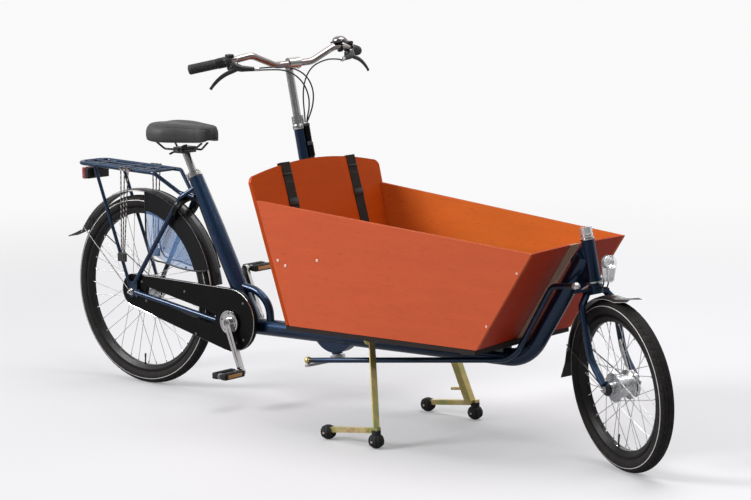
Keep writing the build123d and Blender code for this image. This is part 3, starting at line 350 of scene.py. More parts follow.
def bright_metal(name, shade, roughness, scratch=0.1, stretch=(1, 1, 1), metallic=1.0):
    """Bare or plated metal with fine scratches and handling marks."""
    f = Finish(name, metallic=metallic)
    lines = f.noise(900, 2, 0.6, stretch)
    marks = f.noise(30, 4, 0.6)
    f.set(base_color=f.mix(marks * 0.5, shade, times(shade, 0.8)),
          roughness=roughness + lines * scratch + f.past(marks, 0.6, 0.15) * scratch * 0.6)
    return f.bump(lines, 0.00002 + scratch * 0.0001)


def hub_metal():
    """Turned aluminium: fine rings round each wheel's axle."""
    f = Finish("turned_aluminium", metallic=1.0)
    ahead = f.past(f.along(0), 1.0, 0.01)
    rear = f.radius(f.wheel_place(REAR_PLACE))
    front = f.radius(f.wheel_place(FRONT_PLACE))
    ring = f.math("SINE", (rear * (1 - ahead) + front * ahead) * 5200)
    stain = f.noise(60, 4, 0.6)
    f.set(base_color=f.mix(stain * 0.6, (0.72, 0.73, 0.74), (0.45, 0.46, 0.48)),
          roughness=0.18 + stain * 0.16)
    return f.bump(ring, 0.00005)


def wood(name, shade, low, high, roughness, grain, blotch_and_painted_top_shade, outward=0, inside=(1.1, 1.38, 0.57)):
    """Stained and varnished ply: long grain, painted shade on faces that look up, another tone inside the box.

    The outer face looks sideways from the bike's middle, or ahead or back when outward is 1 or -1.
    """
    f = Finish(name, specular_ior_level=0.1)
    long_grain = f.noise(34, 5, 0.62, grain)
    fine = f.noise(230, 3, 0.7, grain)
    base = f.mix(long_grain, times(shade, low), times(shade, high))
    base = f.mix(f.noise(4.2, 3, 0.55) * 0.35, base, times(shade, (1.1, 1.2, 1.35)))
    face = f.node("TexCoord", out="Normal")
    outer = f.along(0, face) * outward if outward else f.along(1) * f.along(1, face)
    within = times(shade, inside)
    base = f.mix(1 - f.past(outer, -0.02, 0.01), base, f.mix(long_grain, times(within, 0.86), times(within, 1.14)))
    pore = f.past(fine, 0.63, 0.06)
    base = f.mix(pore * 0.35, base, times(shade, 0.6))
    base = f.mix(f.past(f.noise(9, 2, 0.5, grain), 0.7, 0.07) * 0.25, base, blotch_and_painted_top_shade)
    # painted shade: faces that look up, mostly the walls' top edges, are mixed three quarters of the way to the dark
    # edge colour so they don't look pale; the same colour also tints random blotches
    painted_top_shade = f.past(f.along(2, face), 0.6, 0.3)
    f.set(base_color=f.mix(painted_top_shade * 0.75, base, blotch_and_painted_top_shade),
          roughness=roughness + pore * 0.2 + long_grain * 0.12 + painted_top_shade * 0.4)
    return f.bump(long_grain * 0.6 + fine * 0.4 - pore * 0.5, 0.00022)


def moulded(name, shade, roughness, grain_scale=900, depth=0.00008, low=0.8, high=1.25, coat=0.0, shine=0.5):
    """Moulded plastic or painted metal with a fine grained skin, paler where it is handled."""
    f = Finish(name, coat_weight=coat, coat_roughness=0.15, specular_ior_level=shine)
    skin = f.cells(grain_scale)
    worn = f.past(f.noise(24, 5, 0.65), 0.6, 0.12)
    f.set(base_color=f.mix(worn * 0.3, f.tinted(shade, low, high, 14), times(shade, 1.6, 0.003)),
          roughness=roughness + worn * 0.1 + skin * 0.12)
    return f.bump(skin, depth)


def woven(name, shade, pitch, depth):
    """Flat webbing: a close twill with stray pale threads."""
    f = Finish(name, sheen_weight=0.08, sheen_roughness=0.4, specular_ior_level=0.25)
    cloth = f.math("MAXIMUM", f.wave(1 / pitch, "Y"), f.wave(1 / pitch, "Z"))
    worn = f.noise(70, 4, 0.7)
    base = f.mix(cloth * 0.6, times(shade, 0.55), times(shade, 1.5))
    f.set(base_color=f.mix(f.past(worn, 0.62, 0.1) * 0.3, base, (0.05, 0.044, 0.038)),
          roughness=0.82 + worn * 0.1)
    return f.bump(cloth, depth)


def speckled_rubber():
    """Covered stretch bands with a pale fleck twisted through the cover."""
    f = Finish("speckled_band", sheen_weight=0.2)
    twist = f.wave(34, "DIAGONAL", distortion=0.8)
    pale = f.past(twist, 0.55, 0.12) * f.past(f.along(2), 0.462, 0.004)
    f.set(base_color=f.mix(pale * 0.85, (0.011, 0.01, 0.01), (0.4, 0.36, 0.34)), roughness=0.75 + pale * 0.1)
    return f.bump(twist, 0.0006)


def saddle_skin():
    """Soft grained cover, a little glossier and paler in random patches."""
    f = Finish("grained_cover", specular_ior_level=0.35)
    grain = f.cells(520, feature="SMOOTH_F1")
    fine = f.noise(1300, 2, 0.6)
    polish = f.past(f.noise(11, 3, 0.5), 0.52, 0.16)
    base = f.tinted((0.038, 0.037, 0.037), 0.7, 1.2, 16)
    f.set(base_color=f.mix(polish * 0.3, base, (0.06, 0.058, 0.057)), roughness=0.62 - polish * 0.14 + fine * 0.1)
    return f.bump(grain * 0.7 + fine * 0.3, 0.00028)


def guard_plastic():
    """Clear tinted sheet, black beside the tyre."""
    f = Finish("clear_guard", specular_ior_level=0.15)
    rim = f.past(f.radius(f.wheel_place(REAR_PLACE)), 0.281, 0.0012)
    haze = f.noise(26, 4, 0.6)
    f.set(base_color=f.mix(rim, f.mix(haze * 0.3, tone("guard"), (0.26, 0.36, 0.55)), (0.005, 0.005, 0.006)),
          roughness=0.2 + haze * 0.15 + rim * 0.2, alpha=0.3 + rim * 0.67 + haze * 0.08)
    return f.bump(f.noise(14, 1), 0.0004)


def fender_plastic(name, place, limit):
    """Glossy black, with bright wires nearer the axle than the strip, and a painted highlight along both edges."""
    f = Finish(name, coat_weight=0.3, coat_roughness=0.05, specular_ior_level=0.2)
    at = f.wheel_place(place)
    wire = 1 - f.past(f.radius(at), limit, 0.0004)
    side = abs(f.along(1, at))
    # painted highlight: a pale band along both edges of the fender, standing in for the glossy reflection there
    edge = f.past(side, 0.0258, 0.0004) * (1 - wire)
    dirt = f.noise(22, 5, 0.65)
    base = f.mix(dirt * 0.4, (0.006, 0.005, 0.005), (0.02, 0.017, 0.015))
    base = f.mix(edge * 0.9, base, (0.6, 0.58, 0.57))
    f.set(base_color=f.mix(wire, base, (0.13, 0.13, 0.14)), metallic=wire, roughness=0.32 + dirt * 0.14)
    return f.bump(f.noise(420, 2), 0.00006)


def tyre_rubber():
    """Black rubber with random dusty patches."""
    f = Finish("tyre_rubber", specular_ior_level=0.25)
    dust = f.noise(45, 5, 0.7)
    fine = f.noise(700, 2, 0.6)
    f.set(base_color=f.mix(f.past(dust, 0.55, 0.2) * 0.6, (0.009, 0.0078, 0.0072), (0.03, 0.026, 0.024)),
          roughness=0.68 + dust * 0.16)
    return f.bump(fine, 0.00012)


def pale_stripe():
    """The reflecting band on a tyre's wall."""
    f = Finish("pale_stripe", metallic=0.2)
    glint = f.cells(2400)
    f.set(base_color=f.mix(glint, (0.8, 0.8, 0.8), (0.6, 0.6, 0.6)), roughness=0.35 + glint * 0.2)
    return f.bump(glint, 0.00004)


def zinc_plate():
    """Yellow zinc, with drifts of green and red in the plating."""
    f = Finish("yellow_zinc", metallic=0.85)
    fine = f.noise(120, 4, 0.7)
    base = f.node("ValToRGB", {0: f.noise(15, 3, 0.6)}, stops=[
        (0.3, (0.36, 0.4, 0.16)), (0.48, tone("zinc")), (0.6, (0.72, 0.6, 0.32)), (0.72, (0.5, 0.24, 0.12))])
    f.set(base_color=f.mix(f.past(fine, 0.62, 0.08) * 0.3, base, (0.2, 0.14, 0.06)), roughness=0.3 + fine * 0.18)
    return f.bump(fine, 0.00006)


def rod_paint():
    """The frame's blue, with plated balls and dark boots at both ends."""
    f = blue_paint("rod_lacquer")
    balls = [(0.8355, -0.09497, 0.1961), (1.8453, -0.06, 0.5331)]
    ball = f.near(balls[0], 0.0128, 0.0002) + f.near(balls[1], 0.0128, 0.0002)
    boot = f.near(balls[0], 0.030, 0.0004) + f.near(balls[1], 0.030, 0.0004)
    blue = Value(f, f.shader.socket.node.inputs["Base Color"].links[0].from_socket)
    plated = f.mix(f.past(f.along(0), 1.4, 0.1), tone("zinc"), (0.7, 0.7, 0.7))
    return f.set(base_color=f.mix(ball, f.mix(boot, blue, (0.02, 0.02, 0.021)), plated))


def lens(name, shade, alpha, ribs, depth=0.0006, fill=0.6):
    """Clear moulded lens with prisms in it."""
    f = Finish(name, coat_weight=1.0, coat_roughness=0.02, specular_ior_level=0.7)
    prism = f.cells(ribs)
    f.set(base_color=f.mix(prism, shade, times(shade, 1.6, 0.02)), roughness=0.08 + prism * 0.1,
          alpha=alpha + prism * (1 - alpha) * fill)
    return f.bump(prism, depth)


def reflector_metal():
    """The faceted mirror behind the front lens."""
    f = Finish("faceted_mirror", metallic=1.0)
    facet = f.cells(140)
    f.set(base_color=f.mix(facet, (0.97, 0.97, 0.97), (0.72, 0.73, 0.74)), roughness=0.06 + facet * 0.1)
    return f.bump(facet, 0.0004)


GRAIN_AHEAD = (0.14, 1, 1)
GRAIN_ACROSS = (1, 0.14, 1)
FINISHES = {
    "frame_paint": blue_paint,
    "rod_paint": rod_paint,
    "steel": lambda: bright_metal("spoke_steel", (0.6, 0.6, 0.6), 0.24, 0.12),
    "silver": lambda: bright_metal("satin_aluminium", (0.6, 0.59, 0.58), 0.1, 0.1, (1, 1, 0.05)),
    "bright_cap": lambda: bright_metal("bright_cap", (0.86, 0.85, 0.84), 0.26, 0.08, metallic=0.85),
    "hub": hub_metal,
    "chrome": lambda: bright_metal("bright_chrome", (0.72, 0.7, 0.69), 0.05, 0.05),
    # painted reflection: the handlebar's chrome is darker and brownish, standing in for the dark surroundings that
    # it reflects
    "bar_chrome": lambda: bright_metal("bar_chrome", (0.44, 0.38, 0.365), 0.06, 0.05),
    "bell_chrome": lambda: bright_metal("bell_chrome", (0.27, 0.255, 0.25), 0.08, 0.06),
    "dark_steel": lambda: bright_metal("oiled_steel", (0.2, 0.2, 0.21), 0.34, 0.16),
    "pale_screw": lambda: bright_metal("pale_screw", (0.95, 0.78, 0.7), 0.35, 0.1, metallic=0.4),
    "zinc": zinc_plate,
    "mirror": reflector_metal,
    "box_wood": lambda: wood("box_plywood", tone("box_wood"), 0.86, 1.12, 0.36, GRAIN_AHEAD, (0.3, 0.06, 0.02)),
    "box_inner": lambda: wood("wall_plywood", times(tone("box_wood"), (1.02, 0.82, 0.12)), 0.82, 1.12, 0.4,
                              GRAIN_ACROSS, (0.25, 0.05, 0.02)),
    # painted shade: the front wall's outer face is the box's plywood darkened to a deep red, for the shade and dark
    # reflections on it; the inside factors bring its inner face back to the sides' inner tone
    "front_wood": lambda: wood("front_plywood", times(tone("box_wood"), (0.72, 0.32, 0.22)), 0.86, 1.12, 0.36,
                               GRAIN_ACROSS, (0.25, 0.04, 0.012), 1, (1.54, 4.3, 2.5)),
    # partly painted shade: the back wall's inner face is a redder tone, and also darker than the sides' inner faces
    # for the shade it lies in
    "back_wood": lambda: wood("back_plywood", tone("box_wood"), 0.86, 1.12, 0.4, GRAIN_ACROSS,
                              (0.25, 0.05, 0.02), -1, (0.75, 0.56, 0.08)),
    "strip_wood": lambda: wood("strip_plywood", tone("strip_wood"), 0.8, 1.15, 0.45, (1, 1, 0.14),
                               (0.3, 0.15, 0.08)),
    "floor_wood": lambda: wood("floor_plywood", tone("floor_wood"), 0.7, 1.4, 0.5, GRAIN_AHEAD,
                               (0.05, 0.03, 0.02)),
    "webbing": lambda: woven("strap_webbing", (0.014, 0.012, 0.01), 0.016, 0.0005),
    "strap_thread": lambda: moulded("strap_thread", (0.12, 0.11, 0.11), 0.7, 1500, 0.00005),
    "lever_black": lambda: moulded("lever_black", (0.016, 0.016, 0.017), 0.3, 1200, 0.00003),
    "black_steel": lambda: moulded("black_steel", (0.02, 0.02, 0.021), 0.36, 1400, 0.00004, coat=0.3),
    "lamp_plastic": lambda: moulded("lamp_housing", (0.012, 0.012, 0.013), 0.32, 700, shine=0.4),
    "case_plastic": lambda: moulded("case_plastic", (0.0025, 0.0025, 0.0025), 0.34, 760, 0.00003, 0.85, 1.2,
                                    shine=0.1),
    "flap_rubber": lambda: moulded("flap_rubber", (0.018, 0.018, 0.018), 0.6, 500, 0.0002, shine=0.3),
    "grip_rubber": lambda: moulded("grip_rubber", (0.022, 0.021, 0.021), 0.66, 800, 0.0002, 0.8, 1.3),
    "cable_cover": lambda: moulded("cable_cover", (0.02, 0.02, 0.022), 0.42, 2200, 0.00005),
    "rim_black": lambda: moulded("rim_black", (0.007, 0.0065, 0.0065), 0.3, 1800, 0.00003, shine=0.22),
    "pedal_plastic": lambda: moulded("pedal_plastic", (0.012, 0.011, 0.011), 0.52, 600, 0.00015, shine=0.3),
    "saddle_cover": saddle_skin,
    "band_rubber": speckled_rubber,
    "guard_plastic": guard_plastic,
    "tyre": tyre_rubber,
    "stripe": pale_stripe,
    "rear_fender": lambda: fender_plastic("rear_fender_black", REAR_PLACE, 0.3405),
    "front_fender": lambda: fender_plastic("front_fender_black", FRONT_PLACE, 0.2535),
    "amber": lambda: lens("amber_reflector", tone("reflector"), 1.0, 480),
    "red_lens": lambda: lens("red_lens", tone("rear_lens"), 1.0, 260),
    "clear_lens": lambda: lens("clear_lens", (0.9, 0.92, 0.94), 0.16, 60, 0.0, 0.12),
}
# nodes whose finish isn't the one of their slot
FINISH_OF = {
    "rear_hub": "hub", "front_hub": "hub", "steering_rod": "rod_paint", "rear_fender": "rear_fender",
    "front_fender": "front_fender", "handlebar": "bar_chrome", "headset_cap": "bright_cap",
    "box_front": "front_wood", "box_back": "back_wood", "bench": "box_inner",
}


def finish(name):
    """The material of that name, made when it is first asked for."""
    scene = bpy.context.scene
    key = "made_" + name
    if key not in scene:
        scene[key] = FINISHES[name]().material
    return scene[key]


def linked(name, data, matrix=None):
    """An object of that data, linked to the scene, at its place if one is given."""
    made = bpy.data.objects.new(name, data)
    if matrix is not None:
        made.matrix_world = matrix
    bpy.context.scene.collection.objects.link(made)
    return made


# ---- shapes ----
def facing(axis):
    """The turn that brings Z onto an axis."""
    return UP.rotation_difference(Vector(axis).normalized()).to_matrix().to_4x4()


def circle(count):
    """Even angles once round."""
    return [2 * pi * i / count for i in range(count)]


def polar(radius, angle):
    """The point at an angle, as (x, y)."""
    return radius * cos(angle), radius * sin(angle)


def curve_through(points, per_span):
    """Points of a smooth line through the given ones."""
    points = [Vector(p) for p in points]
    before = points[0] * 2 - points[1]
    after = points[-1] * 2 - points[-2]
    line = []
    for p0, p1, p2, p3 in zip([before] + points, points, points[1:], points[2:] + [after]):
        for step in range(per_span):
            t = step / per_span
            line.append(0.5 * (2 * p1 + (p2 - p0) * t + (2 * p0 - 5 * p1 + 4 * p2 - p3) * t * t
                               + (3 * p1 - p0 - 3 * p2 + p3) * t ** 3))
    return line + [points[-1]]


def read_curve(table, x):
    """A smooth value between the rows of a table of (x, value)."""
    if x <= table[0][0]:
        return table[0][1]
    for i in range(len(table) - 1):
        (x1, y1), (x2, y2) = table[i], table[i + 1]
        if x <= x2:
            t = (x - x1) / (x2 - x1)
            before = table[i - 1] if i else (2 * x1 - x2, 2 * y1 - y2)
            after = table[i + 2] if i + 2 < len(table) else (2 * x2 - x1, 2 * y2 - y1)
            m1 = (y2 - before[1]) / (x2 - before[0]) * (x2 - x1)
            m2 = (after[1] - y1) / (after[0] - x1) * (x2 - x1)
            return ((2 * t ** 3 - 3 * t * t + 1) * y1 + (t ** 3 - 2 * t * t + t) * m1
                    + (3 * t * t - 2 * t ** 3) * y2 + (t ** 3 - t * t) * m2)
    return table[-1][1]


class Shape:
    """Gathers closed bodies in millimetres, then makes one piece of them."""

    def __init__(self, place=None):
        self.mesh = bmesh.new()
        self.place = place or Matrix.Identity(4)
        self.look = 0

    def vertex(self, point):
        return self.mesh.verts.new(point)

    def face(self, corners):
        """A face with the present look; corners that are one vertex count once."""
        unique = list(dict.fromkeys(corners))
        if len(unique) > 2:
            self.mesh.faces.new(unique).material_index = self.look

    def skin(self, rings, closed=False):
        """Faces between rings of vertices, with caps unless closed; a ring of one vertex is a point."""
        count = max(len(ring) for ring in rings)
        for a, b in zip(rings, rings[1:] + rings[:1] if closed else rings[1:]):
            for i in range(count):
                j = (i + 1) % count
                self.face([a[i % len(a)], a[j % len(a)], b[j % len(b)], b[i % len(b)]])
        if not closed:
            self.face(rings[0])
            self.face(rings[-1])

    def lathe(self, profile, at, axis=UP, sides=28, closed=False):
        """Turns (radius, height) pairs about an axis."""
        turn = Matrix.Translation(at) @ facing(axis)
        self.skin([[self.vertex(turn @ Vector((*polar(r, a), h))) for a in (circle(sides) if r > 0 else [0])]
                   for r, h in profile], closed)

    def tube(self, points, radius, sides=12, closed=False, side=None, flat=1.0):
        """A bar along points; radius may be a list, and flat is its thickness over its width along side."""
        points = [Vector(p) for p in points]
        radii = radius if isinstance(radius, list) else [radius] * len(points)
        rings = []
        for i, (point, r) in enumerate(zip(points, radii)):
            ahead = points[(i + 1) % len(points)] if closed or i + 1 < len(points) else point
            behind = points[i - 1] if closed or i else point
            run = (ahead - behind).normalized()
            side = side or run.orthogonal().normalized()
            side = (side - run * side.dot(run)).normalized()
            other = run.cross(side)
            rings.append([self.vertex(point + (side * cos(a) + other * sin(a) * flat) * r) for a in circle(sides)])
        self.skin(rings, closed)

    def block(self, centre, size, bevel, steps=2, turn=None):
        """A box with rounded edges."""
        place = Matrix.Translation(centre) @ (turn or Matrix.Identity(4)) @ Matrix.Diagonal((*size, 1))
        corners = bmesh.ops.create_cube(self.mesh, size=1, matrix=place)["verts"]
        edges = list(dict.fromkeys(edge for corner in corners for edge in corner.link_edges))
        faces = list(dict.fromkeys(face for corner in corners for face in corner.link_faces))
        for face in faces:
            face.material_index = self.look
        made = bmesh.ops.bevel(self.mesh, geom=edges, offset=bevel, segments=steps, profile=0.5, affect="EDGES")
        for face in made["faces"]:
            face.material_index = self.look

    def screw(self, at, axis, radius, height=None):
        """A dished screw head."""
        height = height or radius * 0.55
        profile = [(1, -0.4), (1, 0.45), (0.86, 0.9), (0.5, 1), (0.46, 0.35), (0, 0.3)]
        self.lathe([(r * radius, h * height) for r, h in profile], at, axis, 18)

    def nut(self, at, axis, radius, height):
        """A nut with a washer under it and a stud through it."""
        washer = [(1.3, 0), (1.3, 0.18), (0.4, 0.2)]
        hexagon = [(1, 0.16), (1, 0.85), (0.86, 1), (0.5, 1)]
        stud = [(0.5, 0.5), (0.5, 1.25), (0.4, 1.35)]
        for profile, sides in ((washer, 20), (hexagon, 6), (stud, 14)):
            self.lathe([(r * radius, h * height) for r, h in profile], at, axis, sides)

    def make(self, name, body, looks, replaces=(), sharp=34):
        """Links the piece to the scene, in metres, on its body."""
        bmesh.ops.transform(self.mesh, matrix=Matrix.Scale(MM, 4) @ self.place, verts=self.mesh.verts)
        bmesh.ops.recalc_face_normals(self.mesh, faces=self.mesh.faces)
        for face in self.mesh.faces:
            face.smooth = True
        for edge in self.mesh.edges:
            if len(edge.link_faces) == 2 and edge.calc_face_angle() > radians(sharp):
                edge.smooth = False
        data = bpy.data.meshes.new(name)
        self.mesh.to_mesh(data)
        self.mesh.free()
        for look in looks.split():
            data.materials.append(finish(look))
        piece = linked(name, data)
        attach(piece, body)
        if replaces:
            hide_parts(*replaces)
        return piece


# ---- operators ----
class PieceOperator:
    """What every operator here shares."""

    bl_options = {"REGISTER", "UNDO"}


WOOD_EDGE = 0.0012
CASE_EDGE = 0.0025


class BIKE_OT_finishes(PieceOperator, bpy.types.Operator):
    """Gives every node of the frame its finish, and rounds the wood's edges"""

    bl_idname = "bike.finishes"
    bl_label = "Frame finishes"

    def execute(self, context):
        for name, node in NODES.items():
            look = finish(FINISH_OF.get(name, SLOT_OF[name]))
            if not node.material_slots:
                node.data.materials.append(look)
            for slot in node.material_slots:
                slot.material = look
            if name.startswith("box_") or name in ("bench", "chain_case", "bench_brackets"):
                weld = node.modifiers.new("weld", "WELD")
                weld.merge_threshold = 0.00001
                bevel = node.modifiers.new("edges", "BEVEL")
                bevel.width = CASE_EDGE if name == "chain_case" else WOOD_EDGE
                bevel.segments = 3
                bevel.limit_method = "ANGLE"
                bevel.angle_limit = radians(40)
                bevel.harden_normals = True
        return {"FINISHED"}


# angles from the tyre's crown across its section, and what lies there
CROWN_RIB = (0, 5, 9)
GROOVE = (11, 16)
MID_RIB = (18, 25, 31)
OUTER_GROOVE = (33, 37)
SHOULDER = (39, 46, 52, 57)
WALL_START = 60
STRIPE = (71, 76)
WALL = (82, 92, 104, 116, 128)
TYRE_HALF = [*CROWN_RIB, *GROOVE, *MID_RIB, *OUTER_GROOVE, *SHOULDER, WALL_START, 65, *STRIPE, *WALL]
# the rows of one tread block, as shares of it; the first two are its slit
BLOCK_STEPS = (0.0, 0.07, 0.12, 0.4, 0.68, 0.95)
SLIT_END = 0.1
SLIT_SLANT = 0.012
STRIPE_RISE = 0.25
BEAD_Y = 12.5


def tyre(name, node, body, place, outer, width, rim, blocks):
    """A tyre with a ribbed and slit tread and a pale band on both walls."""
    depth = size("tread_depth")
    angles = [-a for a in reversed(TYRE_HALF)] + TYRE_HALF[1:]
    shape = Shape(place)
    rings = []
    for block in range(blocks):
        for step in BLOCK_STEPS:
            ring = []
            for a in angles:
                flat = abs(a)
                sunk = 0.0
                if GROOVE[0] <= flat <= GROOVE[1] or OUTER_GROOVE[0] <= flat <= OUTER_GROOVE[1]:
                    sunk = depth
                elif step < SLIT_END and (MID_RIB[0] < flat <= MID_RIB[-1] or SHOULDER[0] <= flat <= SHOULDER[-2]):
                    sunk = depth * 0.8
                elif flat in STRIPE:
                    sunk = -STRIPE_RISE
                swept = 2 * pi * (block + step + min(flat, WALL_START) * SLIT_SLANT) / blocks
                up, across = polar(width / 2 - sunk, radians(a))
                x, z = polar(outer - width / 2 + up, swept)
                ring.append(shape.vertex((x, across, z)))
            x, z = polar(rim + 0.3, swept)
            ring += [shape.vertex((x, side * BEAD_Y, z)) for side in (1, -1)]
            rings.append(ring)
    count = len(rings[0])
    banded = (angles.index(-STRIPE[1]), angles.index(STRIPE[0]))
    for a, b in zip(rings, rings[1:] + rings[:1]):
        for i in range(count):
            shape.look = 1 if i in banded else 0
            j = (i + 1) % count
            shape.face([a[i], a[j], b[j], b[i]])
    shape.make(name, body, "tyre stripe", [node], sharp=50)


SPOKES = 36
RIM_DEPTH = 21


def wheel_fittings(name, body, place, rim, spoke_y, valve_angle):
    """Spoke nipples along the rim and the valve."""
    shape = Shape(place)
    well = rim - RIM_DEPTH
    for i, a in enumerate(circle(SPOKES)):
        side = 1 if i % 2 else -1
        out = Vector((cos(a), 0, sin(a)))
        run = (sideways(side * spoke_y) - out * well).normalized()
        shape.lathe([(2.6, 0), (2.6, 2.2), (1.9, 3), (1.7, 11), (1.3, 12)], out * (well + 1.5) + sideways(side * 3),
                    (run - out * 2).normalized(), 8)
    shape.look = 1
    a = radians(valve_angle)
    out = Vector((cos(a), 0, sin(a)))
    shape.lathe([(4.2, 0), (4.2, 3), (2.7, 3.4), (2.7, 24), (3.3, 24.4), (3.3, 35), (2.2, 37)], out * (well + 1),
                -out, 14)
    shape.make(name, body, "chrome grip_rubber")


class BIKE_OT_wheels(PieceOperator, bpy.types.Operator):
    """Tyres with their tread, nipples, valves and hub nuts"""

    bl_idname = "bike.wheels"
    bl_label = "Wheels"

    def execute(self, context):
        tyre("rear_tyre_tread", "rear_tyre", "rear_wheel", REAR_PLACE, REAR_R, 47, REAR_RIM, 84)
        tyre("front_tyre_tread", "front_tyre", "front_wheel", FRONT_PLACE, FRONT_R, 48, FRONT_RIM, 64)
        wheel_fittings("rear_nipples", "rear_wheel", REAR_PLACE, REAR_RIM, 29, -93)
        wheel_fittings("front_nipples", "front_wheel", FRONT_PLACE, FRONT_RIM, 24, -100)
        nuts = Shape(REAR_PLACE)
        for side in SIDES:
            nuts.nut((0, side * 72, 0), sideways(side), 8.6, 8)
            nuts.look = 1
            nuts.lathe([(11.5, 0), (11.5, 2), (6, 2.2)], (0, side * 69.4, 0), sideways(side), 24)
            nuts.look = 0
        nuts.make("rear_nuts", "frame", "chrome zinc")
        caps = Shape(FRONT_PLACE)
        for side in SIDES:
            caps.nut((0, side * 57, 0), sideways(side), 8.4, 7)
        caps.look = 1
        caps.lathe([(20, 0), (21, 4), (18, 9), (11, 11), (6.2, 11)], (0, -44.6, 0), sideways(-1), 32)
        caps.make("front_nuts", "fork", "chrome lamp_plastic")
        return {"FINISHED"}


# half width, top and underside of the saddle along the bike
SADDLE_WIDTH = [(80, 32), (84, 52), (92, 70), (108, 86), (132, 96), (158, 99.5), (186, 96), (214, 84), (244, 68),
                (274, 54), (304, 44), (324, 37), (334, 28), (338, 15)]
SADDLE_TOP = [(80, 890), (84, 901), (94, 910), (112, 915), (140, 915.9), (180, 915.5), (220, 914.5), (262, 913),
              (300, 911), (322, 908.5), (333, 903), (338, 892)]
SADDLE_LOW = [(80, 876), (88, 864), (104, 857), (140, 852.5), (185, 851.2), (230, 851.2), (280, 852), (316, 854),
              (332, 859), (338, 868)]
# from the underside's middle out, round and up to the top's middle: share of the width, share of the height
SADDLE_SECTION = [(0, 0.12), (0.45, 0.1), (0.8, 0.03), (0.93, 0.03), (0.99, 0.16), (1.0, 0.34), (0.985, 0.54),
                  (0.93, 0.73), (0.82, 0.88), (0.64, 0.965), (0.42, 0.995), (0.2, 0.985), (0, 0.975)]
SADDLE_BACK = 80
SADDLE_LONG = 258
SADDLE_HIGH = 915.9
SADDLE_ROWS = 96
SADDLE_AROUND = 60
# the welts along both sides, as shares of the way round, and across it; how deep and wide they sink in
SEAM_ROW = 0.63
LOW_SEAM_ROW = 0.26
CROSS_SEAMS = (110, 296)
SEAM_DEPTH, SEAM_WIDE = 1.6, 0.02
CROSS_DEPTH, CROSS_WIDE = 1.2, 2.2
PANEL_RISE = 1.2
CHANNEL_X, CHANNEL_DEPTH = 235, 2.6


def saddle_point(x, share):
    """A point of the left half's skin; share runs from the underside's middle to the top's."""
    at = share * (len(SADDLE_SECTION) - 1)
    across, up = (read_curve(list(enumerate(column)), at) for column in zip(*SADDLE_SECTION))
    wide, top, low = (read_curve(t, x) for t in (SADDLE_WIDTH, SADDLE_TOP, SADDLE_LOW))
    bulge = 0.0
    if share > 0.3:
        seam = (share - SEAM_ROW) / SEAM_WIDE
        bulge = -SEAM_DEPTH * exp(-seam * seam)
        for cross in CROSS_SEAMS:
            gap = (x - cross) / CROSS_WIDE
            bulge -= CROSS_DEPTH * exp(-gap * gap)
        if share > SEAM_ROW:
            bulge += PANEL_RISE * sin(pi * min(1, (share - SEAM_ROW) / (1 - SEAM_ROW) * 2)) ** 2
    channel = 0.0
    if share > 0.8:
        channel = CHANNEL_DEPTH * exp(-((x - CHANNEL_X) / 60) ** 2) * exp(-(wide * across / 11) ** 2)
    out = Vector((0, across, (up - 0.5) * 0.7)).normalized() * bulge
    return Vector((x, wide * across + out.y, min(SADDLE_HIGH, low + (top - low) * up + out.z - channel)))


class BIKE_OT_saddle(PieceOperator, bpy.types.Operator):
    """The padded saddle with its welts and underside"""

    bl_idname = "bike.saddle"
    bl_label = "Saddle"

    def execute(self, context):
        shape = Shape()
        rings = []
        for row in range(SADDLE_ROWS + 1):
            x = SADDLE_BACK + SADDLE_LONG * (0.5 - 0.5 * cos(pi * row / SADDLE_ROWS))
            left = [saddle_point(x, i / SADDLE_AROUND) for i in range(SADDLE_AROUND + 1)]
            right = [mirrored(p) for p in reversed(left[1:-1])]
            rings.append([shape.vertex(p) for p in left + right])
        shape.skin(rings)
        cover = shape.make("saddle_cover", "frame", "saddle_cover", ["saddle"], sharp=70)
        smooth = cover.modifiers.new("soften", "CORRECTIVE_SMOOTH")
        smooth.iterations = 2
        smooth.use_only_smooth = True
        welt = size("seam")
        trim = Shape()
        for row, r in ((SEAM_ROW, welt), (LOW_SEAM_ROW, welt * 1.3)):
            line = [saddle_point(84 + 250 * i / 80, row) for i in range(81)]
            trim.tube(line + [mirrored(p) for p in reversed(line)], r, 8, closed=True)
        for cross in CROSS_SEAMS:
            half = [saddle_point(cross, SEAM_ROW + (0.27 - SEAM_ROW) * i / 24) for i in range(25)]
            for line in (half, [mirrored(p) for p in half]):
                trim.tube(line, welt, 8)
        trim.make("saddle_welts", "frame", "black_steel")
        return {"FINISHED"}


# the handlebar's straight end on the left, and the brake lever below it
BAR_START = bar_place(34, 212, 1161)
BAR_END = bar_place(-73, 318, 1135)
BAR_RUN = (BAR_END - BAR_START).normalized()
BAR_BORE = 11.4
GRIP_LENGTH = 118
GRIP_R = 16
RIB_PITCH = 4.2
BARREL_LENGTH = 30


